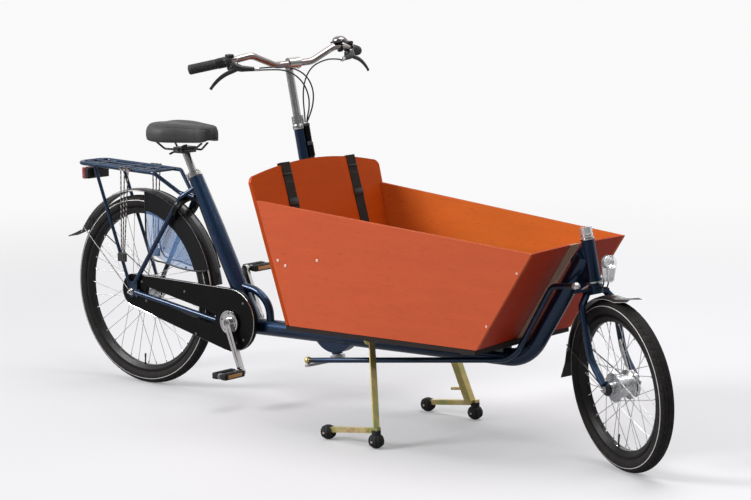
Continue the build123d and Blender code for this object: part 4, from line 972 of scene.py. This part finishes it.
class BIKE_OT_grips(PieceOperator, bpy.types.Operator):
    """Ribbed grips and the twist shifter's barrel on the right"""

    bl_idname = "bike.grips"
    bl_label = "Grips and shifter"

    def execute(self, context):
        low_r = GRIP_R - size("grip_rib")
        shape = Shape(BAR_TURNED)
        inner = BAR_END - BAR_RUN * GRIP_LENGTH
        for side, skip in ((1, 0), (-1, BARREL_LENGTH)):
            profile = [(BAR_BORE, skip), (15.6, skip), (GRIP_R, skip + 1), (GRIP_R, skip + 5)]
            h = skip + 5.0
            while h < GRIP_LENGTH - 10:
                profile += [(low_r, h + 0.5), (low_r, h + 1.9), (GRIP_R, h + 2.4), (GRIP_R, h + RIB_PITCH)]
                h += RIB_PITCH
            profile += [(GRIP_R, 117), (15.6, 120), (13, 121.7), (0, 122)]
            shape.lathe(profile, beside(inner, side), beside(BAR_RUN, side), 32)
        shape.look = 1
        barrel = [(BAR_BORE, 0.5), (16.6, 0.5), (17.2, 1.6), (17.2, 7), (15.4, 7.6), (15.4, 9)]
        for k in range(0, 18, 3):
            barrel += [(17, 9.4 + k), (17, 11 + k), (16.1, 11.4 + k), (16.1, 12 + k)]
        shape.lathe(barrel + [(15, 28.5), (BAR_BORE, 29)], mirrored(inner), mirrored(BAR_RUN), 32)
        shape.make("ribbed_grips", "steering", "grip_rubber lamp_plastic", ["grips"])
        return {"FINISHED"}


LEVER_FRONT = bar_place(45, 214, 1135)
LEVER_INNER = bar_place(74, 157, 1129)
LEVER_TIP = bar_place(2, 300, 1077)
LEVER_COLLAR = BAR_END - BAR_RUN * 130
# share of the way to the tip and how far the blade is bowed up there; then its half width along it
LEVER_BEND = [(-0.02, 0), (0.16, 3.5), (0.4, 9.5), (0.62, 11), (0.82, 7.5), (0.94, 2.5), (1.0, -1)]
LEVER_WIDTH = [(0, 7.4), (0.2, 7.2), (0.5, 6.4), (0.85, 4.9), (0.93, 5.2), (0.975, 5.4), (1, 2.6)]


def brake_lever(levers, bolts, side):
    """One lever: its collar, housings, blade, pivot and cable adjuster."""
    def put(point):
        return beside(point, side)

    reach = LEVER_FRONT - LEVER_COLLAR
    inward = LEVER_INNER - LEVER_FRONT
    back = inward.normalized()
    bolts.screw(put(LEVER_COLLAR + reach * 0.78 + UP * 12.2), UP, 4.4, 1.8)
    bolts.screw(put(LEVER_COLLAR + Vector((-14, -6, 6))), put(Vector((-0.8, -0.5, 0.4))), 3.2, 2)
    bolts.lathe([(6.9, -14), (6.9, -6), (6.2, -5.5), (6.2, -4), (6.9, -3.5), (6.9, 1), (4.5, 2.4), (2.8, 2.5)],
                put(LEVER_INNER), put(back), 16)
    levers.look = 0
    levers.lathe([(11.2, -9), (16.4, -9), (17.2, -8), (17.2, 8), (16.4, 9), (11.2, 9)], put(LEVER_COLLAR),
                 put(BAR_RUN), 36, closed=True)
    housing = (LEVER_COLLAR + reach * 0.38, LEVER_COLLAR + reach * 0.82, LEVER_FRONT + inward * 0.18,
               LEVER_FRONT + inward * 0.55, LEVER_INNER - back * 6)
    levers.tube([put(p) for p in housing], [12.4, 12.6, 10.4, 8, 6.4], 20)
    levers.block(put(LEVER_COLLAR + Vector((2, 0, 16.5))), (25, 21, 11), 3.4, 3)
    levers.block(put(LEVER_COLLAR + Vector((8, -4, -20))), (32, 24, 18), 5, 3)
    levers.look = 1
    blade = curve_through([LEVER_FRONT + (LEVER_TIP - LEVER_FRONT) * t + UP * rise for t, rise in LEVER_BEND], 6)
    wide = [read_curve(LEVER_WIDTH, i / (len(blade) - 1)) for i in range(len(blade))]
    levers.tube([put(p) for p in blade], wide, 20, side=UP, flat=0.58)


class BIKE_OT_controls(PieceOperator, bpy.types.Operator):
    """Bell, brake levers with their pivots, clamp screws and the column's rings"""

    bl_idname = "bike.controls"
    bl_label = "Handlebar controls"

    def execute(self, context):
        bell = Shape(BAR_TURNED)
        at = bar_place(42, 180, 1167)
        bell.lathe([(24.6, 17), (25.4, 16.2), (25.4, 17.5), (25.1, 21), (23.2, 26), (19, 30), (12, 32.8), (5, 33.9),
                    (0, 34)], at, sides=48)
        bell.screw(at + UP * 33.2, UP, 4, 0.8)
        bell.look = 1
        bell.lathe([(22, 17.4), (22, 15.2), (19, 13), (7, 12), (7, 8)], at, sides=32)
        bell.lathe([(14, -5), (14.2, 5), (11.2, 5), (11.2, -5)], at + Vector((-3, 0, -4)), (0.12, 0.98, 0.1), 32,
                   closed=True)
        bell.tube([at + Vector(p) for p in ((-6, -10, 13), (-24, -14, 13), (-31, -14, 12))], [2.4, 2.2, 3.2], 10)
        bell.make("bell_dome", "steering", "bell_chrome lamp_plastic", ["bell"])
        levers = Shape(BAR_TURNED)
        bolts = Shape(BAR_TURNED)
        for side in (1, -1):
            brake_lever(levers, bolts, side)
        levers.make("lever_set", "steering", "lamp_plastic lever_black", ["brake_levers"])
        for y in (-11, 11):
            bolts.screw(bar_place(42, y, 1131) - UP * 15.2, (0.55, 0, -0.83), 4.2, 3)
        bolts.screw(bar_place(-0.5, 0, 1120) + UP * 0.2, STEER_UP, 6.5, 2)
        bolts.make("control_screws", "steering", "chrome")
        rings = Shape()
        rings.lathe([(13.2, -16), (19.4, -15), (20.2, -12), (20.2, -2), (19, 0.6), (13.2, 0.8)],
                    bar_place(0, 0, 934), STEER_UP, 40, closed=True)
        rings.look = 1
        guide = bar_place(24, 12, 938)
        rings.lathe([(8.9, -70), (9.6, -69), (9.6, -60), (8.9, -59)], guide, STEER_UP, 24, closed=True)
        rings.lathe([(8.8, -8), (9.7, -7), (9.7, -1), (8.2, 1.2), (5, 2), (0, 2)], guide, STEER_UP, 24)
        sleeve = [bar_place(ahead, 16 - (836 - z) * 0.1, z)
                  for z, ahead in ((838, 18.4), (822, 17), (800, 14), (776, 9))]
        rings.tube(curve_through(sleeve, 4), [10.2] * 5 + [9.6] * 4 + [8.6] * 3 + [7.4], 20)
        rings.make("column_rings", "frame", "silver black_steel")
        return {"FINISHED"}


# where each cable starts, its way beside the turning axis, and its place in the guide's mouth
CABLE_END_Z = 942
CABLES = {
    "gear_cable": ("right_up", [(84, -110, 1132), (84, -56, 1127), (88, -15, 1111), (86, 14, 1082), (81, 26, 1043),
                                (67, 26, 1003), (45, 22, 968)], (3.6, 0, 0)),
    "right_brake_cable": ("right_down", [(90, -115, 1125), (87, -68, 1118), (79, -26, 1097), (72, 3, 1064),
                                         (62, 18, 1024), (45, 21, 984), (29, 20.5, 962)], (-1.8, 3.1, -0.4)),
    "left_brake_cable": ("left", [(66, 127, 1135), (60, 93, 1131), (48, 60, 1117), (32, 40, 1088), (18, 30, 1050),
                                  (12, 25, 1010), (15, 20, 972)], (-1.8, -3.1, 0)),
}
CABLE_RADIUS = 2.4


def spline_length(points):
    """Length of the smooth line that a cable's points make, in metres."""
    controls = points[1:-1]
    ends = [points[0]] + [(a + b) / 2 for a, b in zip(controls, controls[1:])] + [points[-1]]
    total = 0.0
    for start, control, end in zip(ends, controls, ends[1:]):
        last = start
        for i in range(1, 33):
            t = i / 32
            point = start * (1 - t) ** 2 + control * 2 * t * (1 - t) + end * t * t
            total += (point - last).length
            last = point
    return total


class BIKE_OT_cables(PieceOperator, bpy.types.Operator):
    """The three cables from the levers down to the guide"""

    bl_idname = "bike.cables"
    bl_label = "Cables"

    def execute(self, context):
        out = (LEVER_INNER - LEVER_FRONT).normalized() * 1.3
        left = LEVER_INNER + out
        right = mirrored(left)
        starts = {"left": left, "right_up": right + UP * 3.4, "right_down": right - mirrored(out) * 0.35 - UP * 2.9}
        guide = BAR_TURNED.inverted() @ bar_place(24, 12, CABLE_END_Z)
        for name, (start, route, offset) in CABLES.items():
            route = [starts[start], *(bar_place(*p) for p in route), guide + Vector(offset)]
            points = [BAR_TURNED @ p * MM for p in route]
            line = bpy.data.curves.new(name, "CURVE")
            line.dimensions = "3D"
            line.resolution_u = 16
            line.bevel_depth = CABLE_RADIUS * MM
            line.bevel_resolution = 4
            line.use_fill_caps = True
            spline = line.splines.new("NURBS")
            spline.points.add(len(points) - 1)
            for knot, point in zip(spline.points, points):
                knot.co = (*point, 1)
            spline.order_u = 3
            spline.use_endpoint_u = True
            line.materials.append(finish("cable_cover"))
            cable = linked(name, line)
            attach(cable, "steering")
            spline_length(points)
        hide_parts("cables")
        return {"FINISHED"}


FLUTES = 14
MIRROR_TOP = 12
TAIL_Z = 717


class BIKE_OT_lights(PieceOperator, bpy.types.Operator):
    """Headlight with its mirror and lens, and the rear light"""

    bl_idname = "bike.lights"
    bl_label = "Lights"

    def execute(self, context):
        lamp = fork_place(92, 0, 590) + UP * 2
        lean = (sin(radians(8)), 0, cos(radians(8)))
        outline = [(0, -39), (9, -38.8), (14.5, -37), (16.5, -33), (18, -22), (20, -8), (21.8, 8), (22.6, 20),
                   (21.6, 29), (17.5, 35), (10, 38.4), (0, 39)]
        lens_shape = Shape(FORK_TURNED)
        lens_shape.lathe(outline, lamp, lean, 48)
        lens_shape.make("headlight_lens", "fork", "clear_lens", ["headlight"])
        shell = Shape(FORK_TURNED)
        turn = Matrix.Translation(lamp) @ facing(lean)
        shell.skin([[shell.vertex(turn @ Vector((*polar(r * (0.86 + 0.05 * cos(FLUTES * a)), a), h * 0.92)))
                     for a in circle(96)] for r, h in outline[1:-1] if h < MIRROR_TOP])
        bowl = lamp + Vector((4, 0, 21))
        shell.lathe([(13.5, -4), (15.5, -3), (16.6, 0), (15.6, 1.2), (13.4, -0.4), (10, -4.2), (5, -6.6), (0, -7.2)],
                    bowl, (1, 0, 0.25), 48)
        shell.lathe([(4.2, -6), (4.4, -2), (3, 1.4), (0, 2.4)], bowl, (1, 0, 0.25), 24)
        shell.look = 1
        arc = [pi * (0.62 + 0.76 * i / 18) for i in range(19)]
        rings = []
        for r, h in outline[1:-1]:
            r *= 1.01
            ring = [(*polar(r, a), h) for a in arc] + [(*polar(r * 0.93, a), h * 0.98) for a in reversed(arc)]
            rings.append([shell.vertex(turn @ Vector(p)) for p in ring])
        shell.skin(rings)
        foot = fork_place(18, 0, 530) - UP * 2
        for y in (-8, 8):
            shell.tube(curve_through([foot + sideways(y * 0.6), foot + Vector((30, y, 2)),
                                      lamp + Vector((-16, y, -36)), lamp + Vector((-15, y, -24))], 6), 2.2, 10)
        shell.block(lamp + Vector((-19, 0, -10)), (7, 18, 26), 1.5, 2, facing(lean))
        shell.screw(lamp + Vector((-19, -9.4, -10)), sideways(-1), 4, 2)
        shell.make("headlight_shell", "fork", "mirror lamp_plastic")
        tail = Shape()
        tail.block((-253, 0, TAIL_Z), (17, 95.5, 41.5), 5, 4)
        tail.look = 1
        tail.block((-238, 0, TAIL_Z), (16, 93, 39), 3, 3)
        tail.block((-215, 0, TAIL_Z + 5), (30, 52, 40), 3, 3)
        tail.look = 0
        for rise in (-13, -6.5, 0, 6.5, 13):
            tail.block((-258, 0, TAIL_Z + rise), (7.6, 80, 1.6), 0.5, 1)
        tail.look = 1
        tail.block((-258.8, 0, TAIL_Z), (6.6, 18, 30), 1.5)
        for y in (-18, 18):
            tail.screw((-212, y, 741.2), UP, 4)
        tail.make("rear_light_body", "frame", "red_lens lamp_plastic", ["rear_light"])
        return {"FINISHED"}


class BIKE_OT_pedals(PieceOperator, bpy.types.Operator):
    """Pedals with ribbed treads and amber reflectors"""

    bl_idname = "bike.pedals"
    bl_label = "Pedals"

    def execute(self, context):
        for side, name in ((-1, "pedal_right"), (1, "pedal_left")):
            shape = Shape(Matrix.Translation(crank_end(side)))
            middle = side * PEDAL_MIDDLE
            shape.look = 2
            shape.lathe([(8, -45), (10, -43), (10, -30), (7.6, -26), (7.6, 26), (9.4, 30), (9.4, 43), (6, 45.8),
                         (0, 46)], sideways(middle), sideways(side), 24)
            for end in SIDES:
                shape.look = 0
                shape.block((end * 20, middle, 0), (20.5, 91.5, 20), 2.4, 3)
                shape.block((0, middle + end * 41.3, 0), (44, 8.6, 14), 1.5)
                for k in range(9):
                    for face in SIDES:
                        shape.block((end * 20, middle - 38 + k * 9.5, face * 10), (16, 4.2, 2), 0.7)
                shape.look = 1
                shape.block((end * 29.4, middle, 0), (3.2, 64, 12.5), 1.0)
                shape.look = 0
                for face in SIDES:
                    shape.block((end * 29.6, middle, face * 8), (2.4, 72, 3), 0.8)
            shape.make(name + "_cage", name, "pedal_plastic amber dark_steel", [name])
        return {"FINISHED"}


# the chain case's round ends, as (x, z, radius)
CASE_REAR = (0.0, 331.0, 56.0)
CASE_FRONT = (463.0, 278.0, 104.0)
CASE_Y = -56.9
CASE_FLARE = 3.6
CASE_SCREWS = ((40, -58, 364), (60, -58, 300), (250, -62, 352), (300, -62, 214), (520, -62, 340), (520, -62, 218))


def case_outline(count):
    """Points round the chain case's outer edge, as (x, z)."""
    (x1, z1, r1), (x2, z2, r2) = CASE_REAR, CASE_FRONT
    along = atan2(z2 - z1, x2 - x1)
    off = atan2(r2 - r1, hypot(x2 - x1, z2 - z1))
    line = []
    for (x, z, r), start, sweep in ((CASE_FRONT, along - (pi / 2 + off), pi + 2 * off),
                                    (CASE_REAR, along + pi / 2 + off, pi - 2 * off)):
        for i in range(count + 1):
            ahead, up = polar(r, start + sweep * i / count)
            line.append((x + ahead, z + up))
    return line


class BIKE_OT_drive(PieceOperator, bpy.types.Operator):
    """Trim and screws of the chain case, and the cranks' bolts and rings"""

    bl_idname = "bike.drive"
    bl_label = "Chain case and cranks"

    def execute(self, context):
        trim = Shape()
        edge = [(x, CASE_Y - CASE_FLARE * max(0, min(1, (x - 50) / 180)), z) for x, z in case_outline(40)]
        trim.tube(edge, 1.5, 8, closed=True)
        trim.look = 1
        for at in CASE_SCREWS:
            trim.screw(at, sideways(-1), 4.4, 1.6)
        trim.look = 2
        trim.lathe([(43, 0), (46.5, 0), (48, 1.4), (47, 3), (43, 2.2)], BOTTOM_BRACKET + sideways(-60.6),
                   sideways(-1), 56, closed=True)
        trim.make("case_trim", "frame", "silver dark_steel case_plastic")
        crank = Shape()
        crank.lathe([(38, -0.2), (39.6, 0.4), (39.4, 2.2), (35, 3.2), (34, 1.2), (28, 0.8), (26, 2.6), (18, 3)],
                    BOTTOM_BRACKET + sideways(-70), sideways(-1), 56)
        crank.look = 1
        for i in range(5):
            x, z = polar(30.5, radians(20 + 72 * i))
            crank.screw(BOTTOM_BRACKET + Vector((x, -70.6, z)), sideways(-1), 3.8, 2)
        for side in SIDES:
            crank.look = 1
            crank.lathe([(11, -0.6), (11, 1), (9.4, 1.4), (9, 0.2), (5.5, 0.2), (5.2, 1.8), (0, 1.9)],
                        BOTTOM_BRACKET + sideways(side * 83), sideways(side), 24)
            end = crank_end(side)
            crank.lathe([(6.2, 0), (6.2, 1.2), (3.6, 1.4), (3.2, 0.4), (0, 0.4)], end + sideways(side * PEDAL_Y),
                        sideways(side), 6)
            crank.look = 0
            down = (end - BOTTOM_BRACKET).normalized()
            ridge = [BOTTOM_BRACKET + down * t + sideways(side * (83.2 + 10 * t / CRANK_LENGTH))
                     for t in (18, 50, 110, 152)]
            crank.tube(ridge, [1.2, 2.2, 2.0, 1.0], 10)
        crank.make("crank_bolts", "cranks", "silver dark_steel")
        return {"FINISHED"}


def side_screws(shape, spots, radius):
    """Screw heads on both sides of the box, at (x, z)."""
    for x, z in spots:
        for side in SIDES:
            normal = Vector((SIDE_NORMAL.x, side * SIDE_NORMAL.y, SIDE_NORMAL.z))
            shape.screw((x, side * side_y(x, z), z), normal, radius, radius * 0.4)


STRAPS_Y = (-138, 172)


class BIKE_OT_box(PieceOperator, bpy.types.Operator):
    """Screws, strap buckles and stitching of the box"""

    bl_idname = "bike.box"
    bl_label = "Box fittings"

    def execute(self, context):
        screws = Shape()
        radius = size("screw")
        side_screws(screws, [(893, 547), (922, 533), (1046, 560)], radius)
        side_screws(screws, [(on_line(FRONT_WALL, z) - 12, z) for z in (420, 585)], radius * 0.7)
        screws.make("box_screws", "frame", "pale_screw")
        straps = Shape()
        normal = Vector((cos(WALL_TILT), 0, sin(WALL_TILT)))
        down = Vector((sin(WALL_TILT), 0, -cos(WALL_TILT)))
        turn = Matrix.Rotation(-WALL_TILT, 4, "Y")

        def on_wall(y, z, out):
            return Vector((on_line(BACK_WALL, z), y, z)) + normal * (BOX_WALL + out)

        for y in STRAPS_Y:
            straps.look = 0
            buckle = on_wall(y, 705, 3.6)
            straps.block(buckle, (3, 42.5, 22), 1.2, 2, turn)
            straps.block(buckle + normal * 0.9, (2, 30, 13), 0.8, 2, turn)
            straps.block(buckle - down * 10 + normal * 0.6, (2.4, 42.5, 3.4), 0.8, 2, turn)
            straps.block(on_wall(y, 790, 3.6), (2.4, 42.5, 6), 1.2, 2, turn)
            straps.look = 1
            for z in (770, 764):
                for k in range(9):
                    straps.block(on_wall(y - 16 + k * 4, z, 3.1), (0.8, 2.6, 0.8), 0.25, 1, turn)
        straps.make("strap_buckles", "frame", "lamp_plastic strap_thread")
        hinge = Shape()
        for side in SIDES:
            for x in (895, 913):
                hinge.screw((x, side * 243.2, 537), sideways(-side), 3.4, 1.6)
        hinge.make("bench_screws", "frame", "silver")
        return {"FINISHED"}


COLLAR_Z = 733
RAIL_CLAMP_Z = 824
# the coat guards: the fender's radius, the lower edge round the rear axle, as (x, z), and the sheets' middle
GUARD_R = 346.4
GUARD_LOW = [(46, 137), (142, 105), (233, 93), (312, 96)]
GUARD_Y = 30


class BIKE_OT_frame_fittings(PieceOperator, bpy.types.Operator):
    """Clamps, collars, guard rims and band hooks on the frame"""

    bl_idname = "bike.frame_fittings"
    bl_label = "Frame fittings"

    def execute(self, context):
        (top_x, top_z), (low_x, low_z) = SEAT_TUBE
        run = Vector((top_x - low_x, 0, top_z - low_z)).normalized()
        back = Vector((-run.z, 0, run.x))
        post = Shape()
        top = Vector((on_line(SEAT_TUBE, COLLAR_Z), 0, COLLAR_Z))
        post.lathe([(14, 0), (24.2, 0), (25, 1), (25, 14), (24, 15.2), (14, 15.6)], top, run, 40, closed=True)
        post.block(top + run * 7.5 + back * 27, (12, 15, 13), 1.2, 2, facing(run))
        post.screw(top + run * 7.5 + back * 28 + sideways(-7.6), sideways(-1), 4.2, 3)
        post.lathe([(14, 16), (17, 16.4), (17.4, 19), (14, 20.5)], top, run, 36, closed=True)
        post.look = 1
        for side in SIDES:
            post.nut((on_line(SEAT_TUBE, RAIL_CLAMP_Z) + 2, side * 34, RAIL_CLAMP_Z), sideways(side), 6, 6)
        post.make("seat_clamp", "frame", "silver dark_steel")
        rims = Shape()
        for side in SIDES:
            line = [polar(GUARD_R, radians(84)), *GUARD_LOW, polar(GUARD_R, radians(18))]
            rims.look = 0
            rims.tube(curve_through([(x, side * GUARD_Y, z + REAR_R) for x, z in line], 4), 3.0, 8)
            rims.look = 1
            for x, z in ((60, 144), (228, 101), (170, 292)):
                rims.screw((x, side * (GUARD_Y + 0.8), z + REAR_R), sideways(side), 4, 2)
        rims.make("guard_rims", "frame", "lamp_plastic dark_steel")
        lock = Shape()
        place = Matrix.Translation((200.3, 0, 623.5)) @ Matrix.Rotation(radians(-56), 4, "Y")
        lock.lathe([(8, 0), (8.4, 5), (6.4, 6), (5.6, 4.4), (2, 4.4), (0, 4)], place @ Vector((20, -44, 8)),
                   (-0.4, -0.7, 0.6), 24)
        lock.lathe([(9, 0), (9, 4), (4, 7), (0, 7)], place @ Vector((30, 36, 8)), (-0.3, 0.6, 0.7), 24)
        lock.make("lock_barrel", "frame", "dark_steel")
        head = Shape()
        for z, r in ((663, 21.6), (540, 24.4)):
            head.lathe([(20, -3), (r, -2.6), (r + 0.6, -1.6), (r + 0.6, 2), (20, 2.8)], fork_place(0, 0, z),
                       STEER_UP, 40, closed=True)
        head.make("head_rings", "frame", "silver")
        cap = Shape(FORK_TURNED)
        at = fork_place(0, 0, 697)
        cap.lathe([(18.4, -24), (18.9, -23.4), (18.9, -21), (18.2, -20.4)], at, STEER_UP, 40, closed=True)
        cap.screw(at + STEER_UP * 2.4, STEER_UP, 5.5, 1.6)
        cap.make("headset_rings", "fork", "silver")
        bands = Shape()
        for side in SIDES:
            bands.look = 0
            for x in (-46, -34, -22, -15):
                bands.block((x, side * 82, 444), (2.2, 2.4, 24), 0.6, 1)
            bands.look = 1
            for x in (-32, -14, 4):
                bands.block((x, side * 74, 752), (11, 9, 7.5), 1.2)
        bands.make("band_ends", "frame", "lamp_plastic black_steel")
        return {"FINISHED"}


FOOT_R = 23
FOOT_Y = 244
FEET_X = (1244, 1051)
STAND_PIVOT = (1165, 313)


class BIKE_OT_stand_fittings(PieceOperator, bpy.types.Operator):
    """Pivot bolts of the stand and the ribs of its feet"""

    bl_idname = "bike.stand_fittings"
    bl_label = "Stand fittings"

    def execute(self, context):
        x, z = STAND_PIVOT
        bolts = Shape()
        hanger = Shape()
        for side in SIDES:
            bolts.nut((x, side * 191, z), sideways(side), 9, 7)
            hanger.nut((x, side * 38, z), sideways(side), 9, 5)
            for screw_x in (1236, 1216):
                bolts.screw((screw_x, side * 253.2, 31 + (screw_x - FEET_X[1]) * 0.13), sideways(side), 4, 2)
        bolts.make("stand_bolts", "stand", "zinc")
        ribs = Shape()
        arc = [radians(38 + 9 * i) for i in range(11)]
        for foot_x in FEET_X:
            for side in SIDES:
                middle = Vector((foot_x, side * FOOT_Y, FOOT_R))
                ribs.look = 0
                for a in circle(12):
                    rib = [middle + Vector((*polar(sin(p), a), cos(p))) * (FOOT_R + 0.2) for p in arc]
                    ribs.tube(rib, [0.7] + [1.6] * 9 + [0.7], 8)
                ribs.look = 1
                for way in SIDES:
                    ribs.screw(middle + sideways(way * (FOOT_R + 0.1)), sideways(way), 3.4, 1.4)
        ribs.make("foot_ribs", "stand", "flap_rubber pale_screw")
        hanger.make("stand_pivot", "frame", "dark_steel")
        return {"FINISHED"}


# the studio, in metres and degrees
CAMERA_AT = (5.3461, -5.0653, 1.5632)
CAMERA_TURN = (40.37, 8.6, -0.49)
CAMERA_LENS = 103.08
BIKE_MIDDLE = Vector((0.9, 0, 0))
LAMP_AIM = Vector((0.9, 0, 0.45))
LAMPS = [
    ("key", (-4.35, -7.2, 5.5), 3.2, 880),
    ("fill", (5.6, -2.4, 3.4), 1.0, 12),
    ("top", (1.9, 0.2, 5.0), 3.4, 165),
    ("back", (-0.8, 5.0, 3.0), 2.6, 45),
]
FLOOR_R = 60
# how much of its colour the floor throws back at the bike, and how much of its shadow is lifted
FLOOR_BOUNCE = 0.6
FLOOR_LIFT = 0.22
# the white backdrop stands this way and fades over this edge into a dim room, as bright as this
BACKDROP_WAY = (-0.52, 0.62, 0.59)
BACKDROP_EDGE = (0.2, 0.55)
ROOM_LOW = 0.2
ROOM_RISE = 0.55


def studio_world():
    """A white backdrop, which metal shows on the side where it stands, and a dim room opposite."""
    world = bpy.data.worlds.new("studio")
    world.use_nodes = True
    f = Nodes(world.node_tree, "OutputWorld")
    toward = f.vector("DOT_PRODUCT", f.node("TexCoord", out="Generated"), BACKDROP_WAY, out=1)
    toward = f.past(toward, *BACKDROP_EDGE)
    seen = f.node("Background", {"Color": (0.95, 0.95, 0.96)})
    room = f.node("Background", {"Color": (0.97, 0.98, 1), "Strength": toward * ROOM_RISE + ROOM_LOW})
    direct = f.math("MAXIMUM", f.node("LightPath", out="Is Camera Ray"),
                    f.node("LightPath", out="Is Transmission Ray"))
    glossy = f.node("LightPath", out="Is Glossy Ray") * toward
    f.feed(f.surface, f.node("MixShader", {0: f.math("MAXIMUM", direct, glossy), 1: room, 2: seen}))
    return world


def paper_floor():
    """The finish of the floor: paper with painted light, darker towards the camera's left and lighter towards its
    right, and a glow that lifts its shadow and fades it into white far from the bike.
    """
    f = Finish("studio_floor", roughness=0.9, specular_ior_level=0.1)
    shade = tone("studio_floor")
    seen = f.node("LightPath", out="Is Camera Ray")
    # painted light: the paper grows from 0.89 to 1.06 times its colour towards the camera's right, evening out the
    # key lamp's light on the floor
    ahead = f.past(f.along(0) * 0.76 + f.along(1) * 0.65, 0.8, 1.8)
    paper = f.mix(ahead, times(shade, 0.89), times(shade, 1.06))
    f.set(base_color=f.mix(seen, times(shade, FLOOR_BOUNCE), paper))
    glow = f.node("Emission", {"Color": (1, 1, 1), "Strength": 0.95})
    far = f.past(f.vector("DISTANCE", f.place, BIKE_MIDDLE, out=1), 3.6, 2.2)
    white = (FLOOR_LIFT + far * (1 - FLOOR_LIFT)) * seen
    f.feed(f.surface, f.node("MixShader", {0: white, 1: f.shader, 2: glow}))
    return f.material


class BIKE_OT_stage(PieceOperator, bpy.types.Operator):
    """Camera, soft lamps, pale floor and white surroundings"""

    bl_idname = "bike.stage"
    bl_label = "Stage"

    def execute(self, context):
        scene = context.scene
        a, e, r = (radians(v) for v in CAMERA_TURN)
        ahead = Vector((-sin(a) * cos(e), cos(a) * cos(e), -sin(e)))
        right = Vector((cos(a), sin(a), 0))
        up = right.cross(ahead)
        turn = Matrix((right * cos(r) + up * sin(r), right * -sin(r) + up * cos(r), -ahead)).transposed()
        data = bpy.data.cameras.new("camera")
        data.lens = CAMERA_LENS
        data.sensor_width = 36
        data.clip_end = 200
        scene.camera = linked("camera", data, Matrix.Translation(CAMERA_AT) @ turn.to_4x4())
        for name, place, side, power in LAMPS:
            light = bpy.data.lights.new(name, "AREA")
            light.shape = "SQUARE"
            light.size = side
            light.energy = power
            aim = (LAMP_AIM - Vector(place)).to_track_quat("-Z", "Y").to_matrix().to_4x4()
            linked(name, light, Matrix.Translation(place) @ aim)
        scene.world = studio_world()
        mesh = bmesh.new()
        bmesh.ops.create_circle(mesh, cap_ends=True, radius=FLOOR_R, segments=96)
        data = bpy.data.meshes.new("studio_floor")
        mesh.to_mesh(data)
        mesh.free()
        data.materials.append(paper_floor())
        linked("studio_floor", data)
        scene.view_settings.view_transform = "Standard"
        return {"FINISHED"}


OPERATORS = (BIKE_OT_stage, BIKE_OT_finishes, BIKE_OT_wheels, BIKE_OT_saddle, BIKE_OT_grips, BIKE_OT_controls,
             BIKE_OT_cables, BIKE_OT_lights, BIKE_OT_pedals, BIKE_OT_drive, BIKE_OT_box, BIKE_OT_frame_fittings,
             BIKE_OT_stand_fittings)


class BIKE_PT_panel(bpy.types.Panel):
    """Lists the bike's pieces, sizes and colours"""

    bl_label = "Cargo bike"
    bl_idname = "BIKE_PT_panel"
    bl_space_type = "VIEW_3D"
    bl_region_type = "UI"
    bl_category = "Cargo bike"

    def draw(self, context):
        for operator in OPERATORS:
            self.layout.operator(operator.bl_idname)
        for group in (context.scene.bike_sizes, context.scene.bike_colours):
            for key in group.bl_rna.properties.keys():
                if key not in ("rna_type", "name"):
                    self.layout.prop(group, key)


CLASSES = (BikeColours, BikeSizes, *OPERATORS, BIKE_PT_panel)


def register():
    for cls in CLASSES:
        bpy.utils.register_class(cls)
    bpy.types.Scene.bike_colours = bpy.props.PointerProperty(type=BikeColours)
    bpy.types.Scene.bike_sizes = bpy.props.PointerProperty(type=BikeSizes)


def unregister():
    del bpy.types.Scene.bike_sizes
    del bpy.types.Scene.bike_colours
    for cls in reversed(CLASSES):
        bpy.utils.unregister_class(cls)


def main():
    register()
    for operator in OPERATORS:
        group, name = operator.bl_idname.split(".")
        getattr(getattr(bpy.ops, group), name)()


if __name__ == "__main__":
    main()
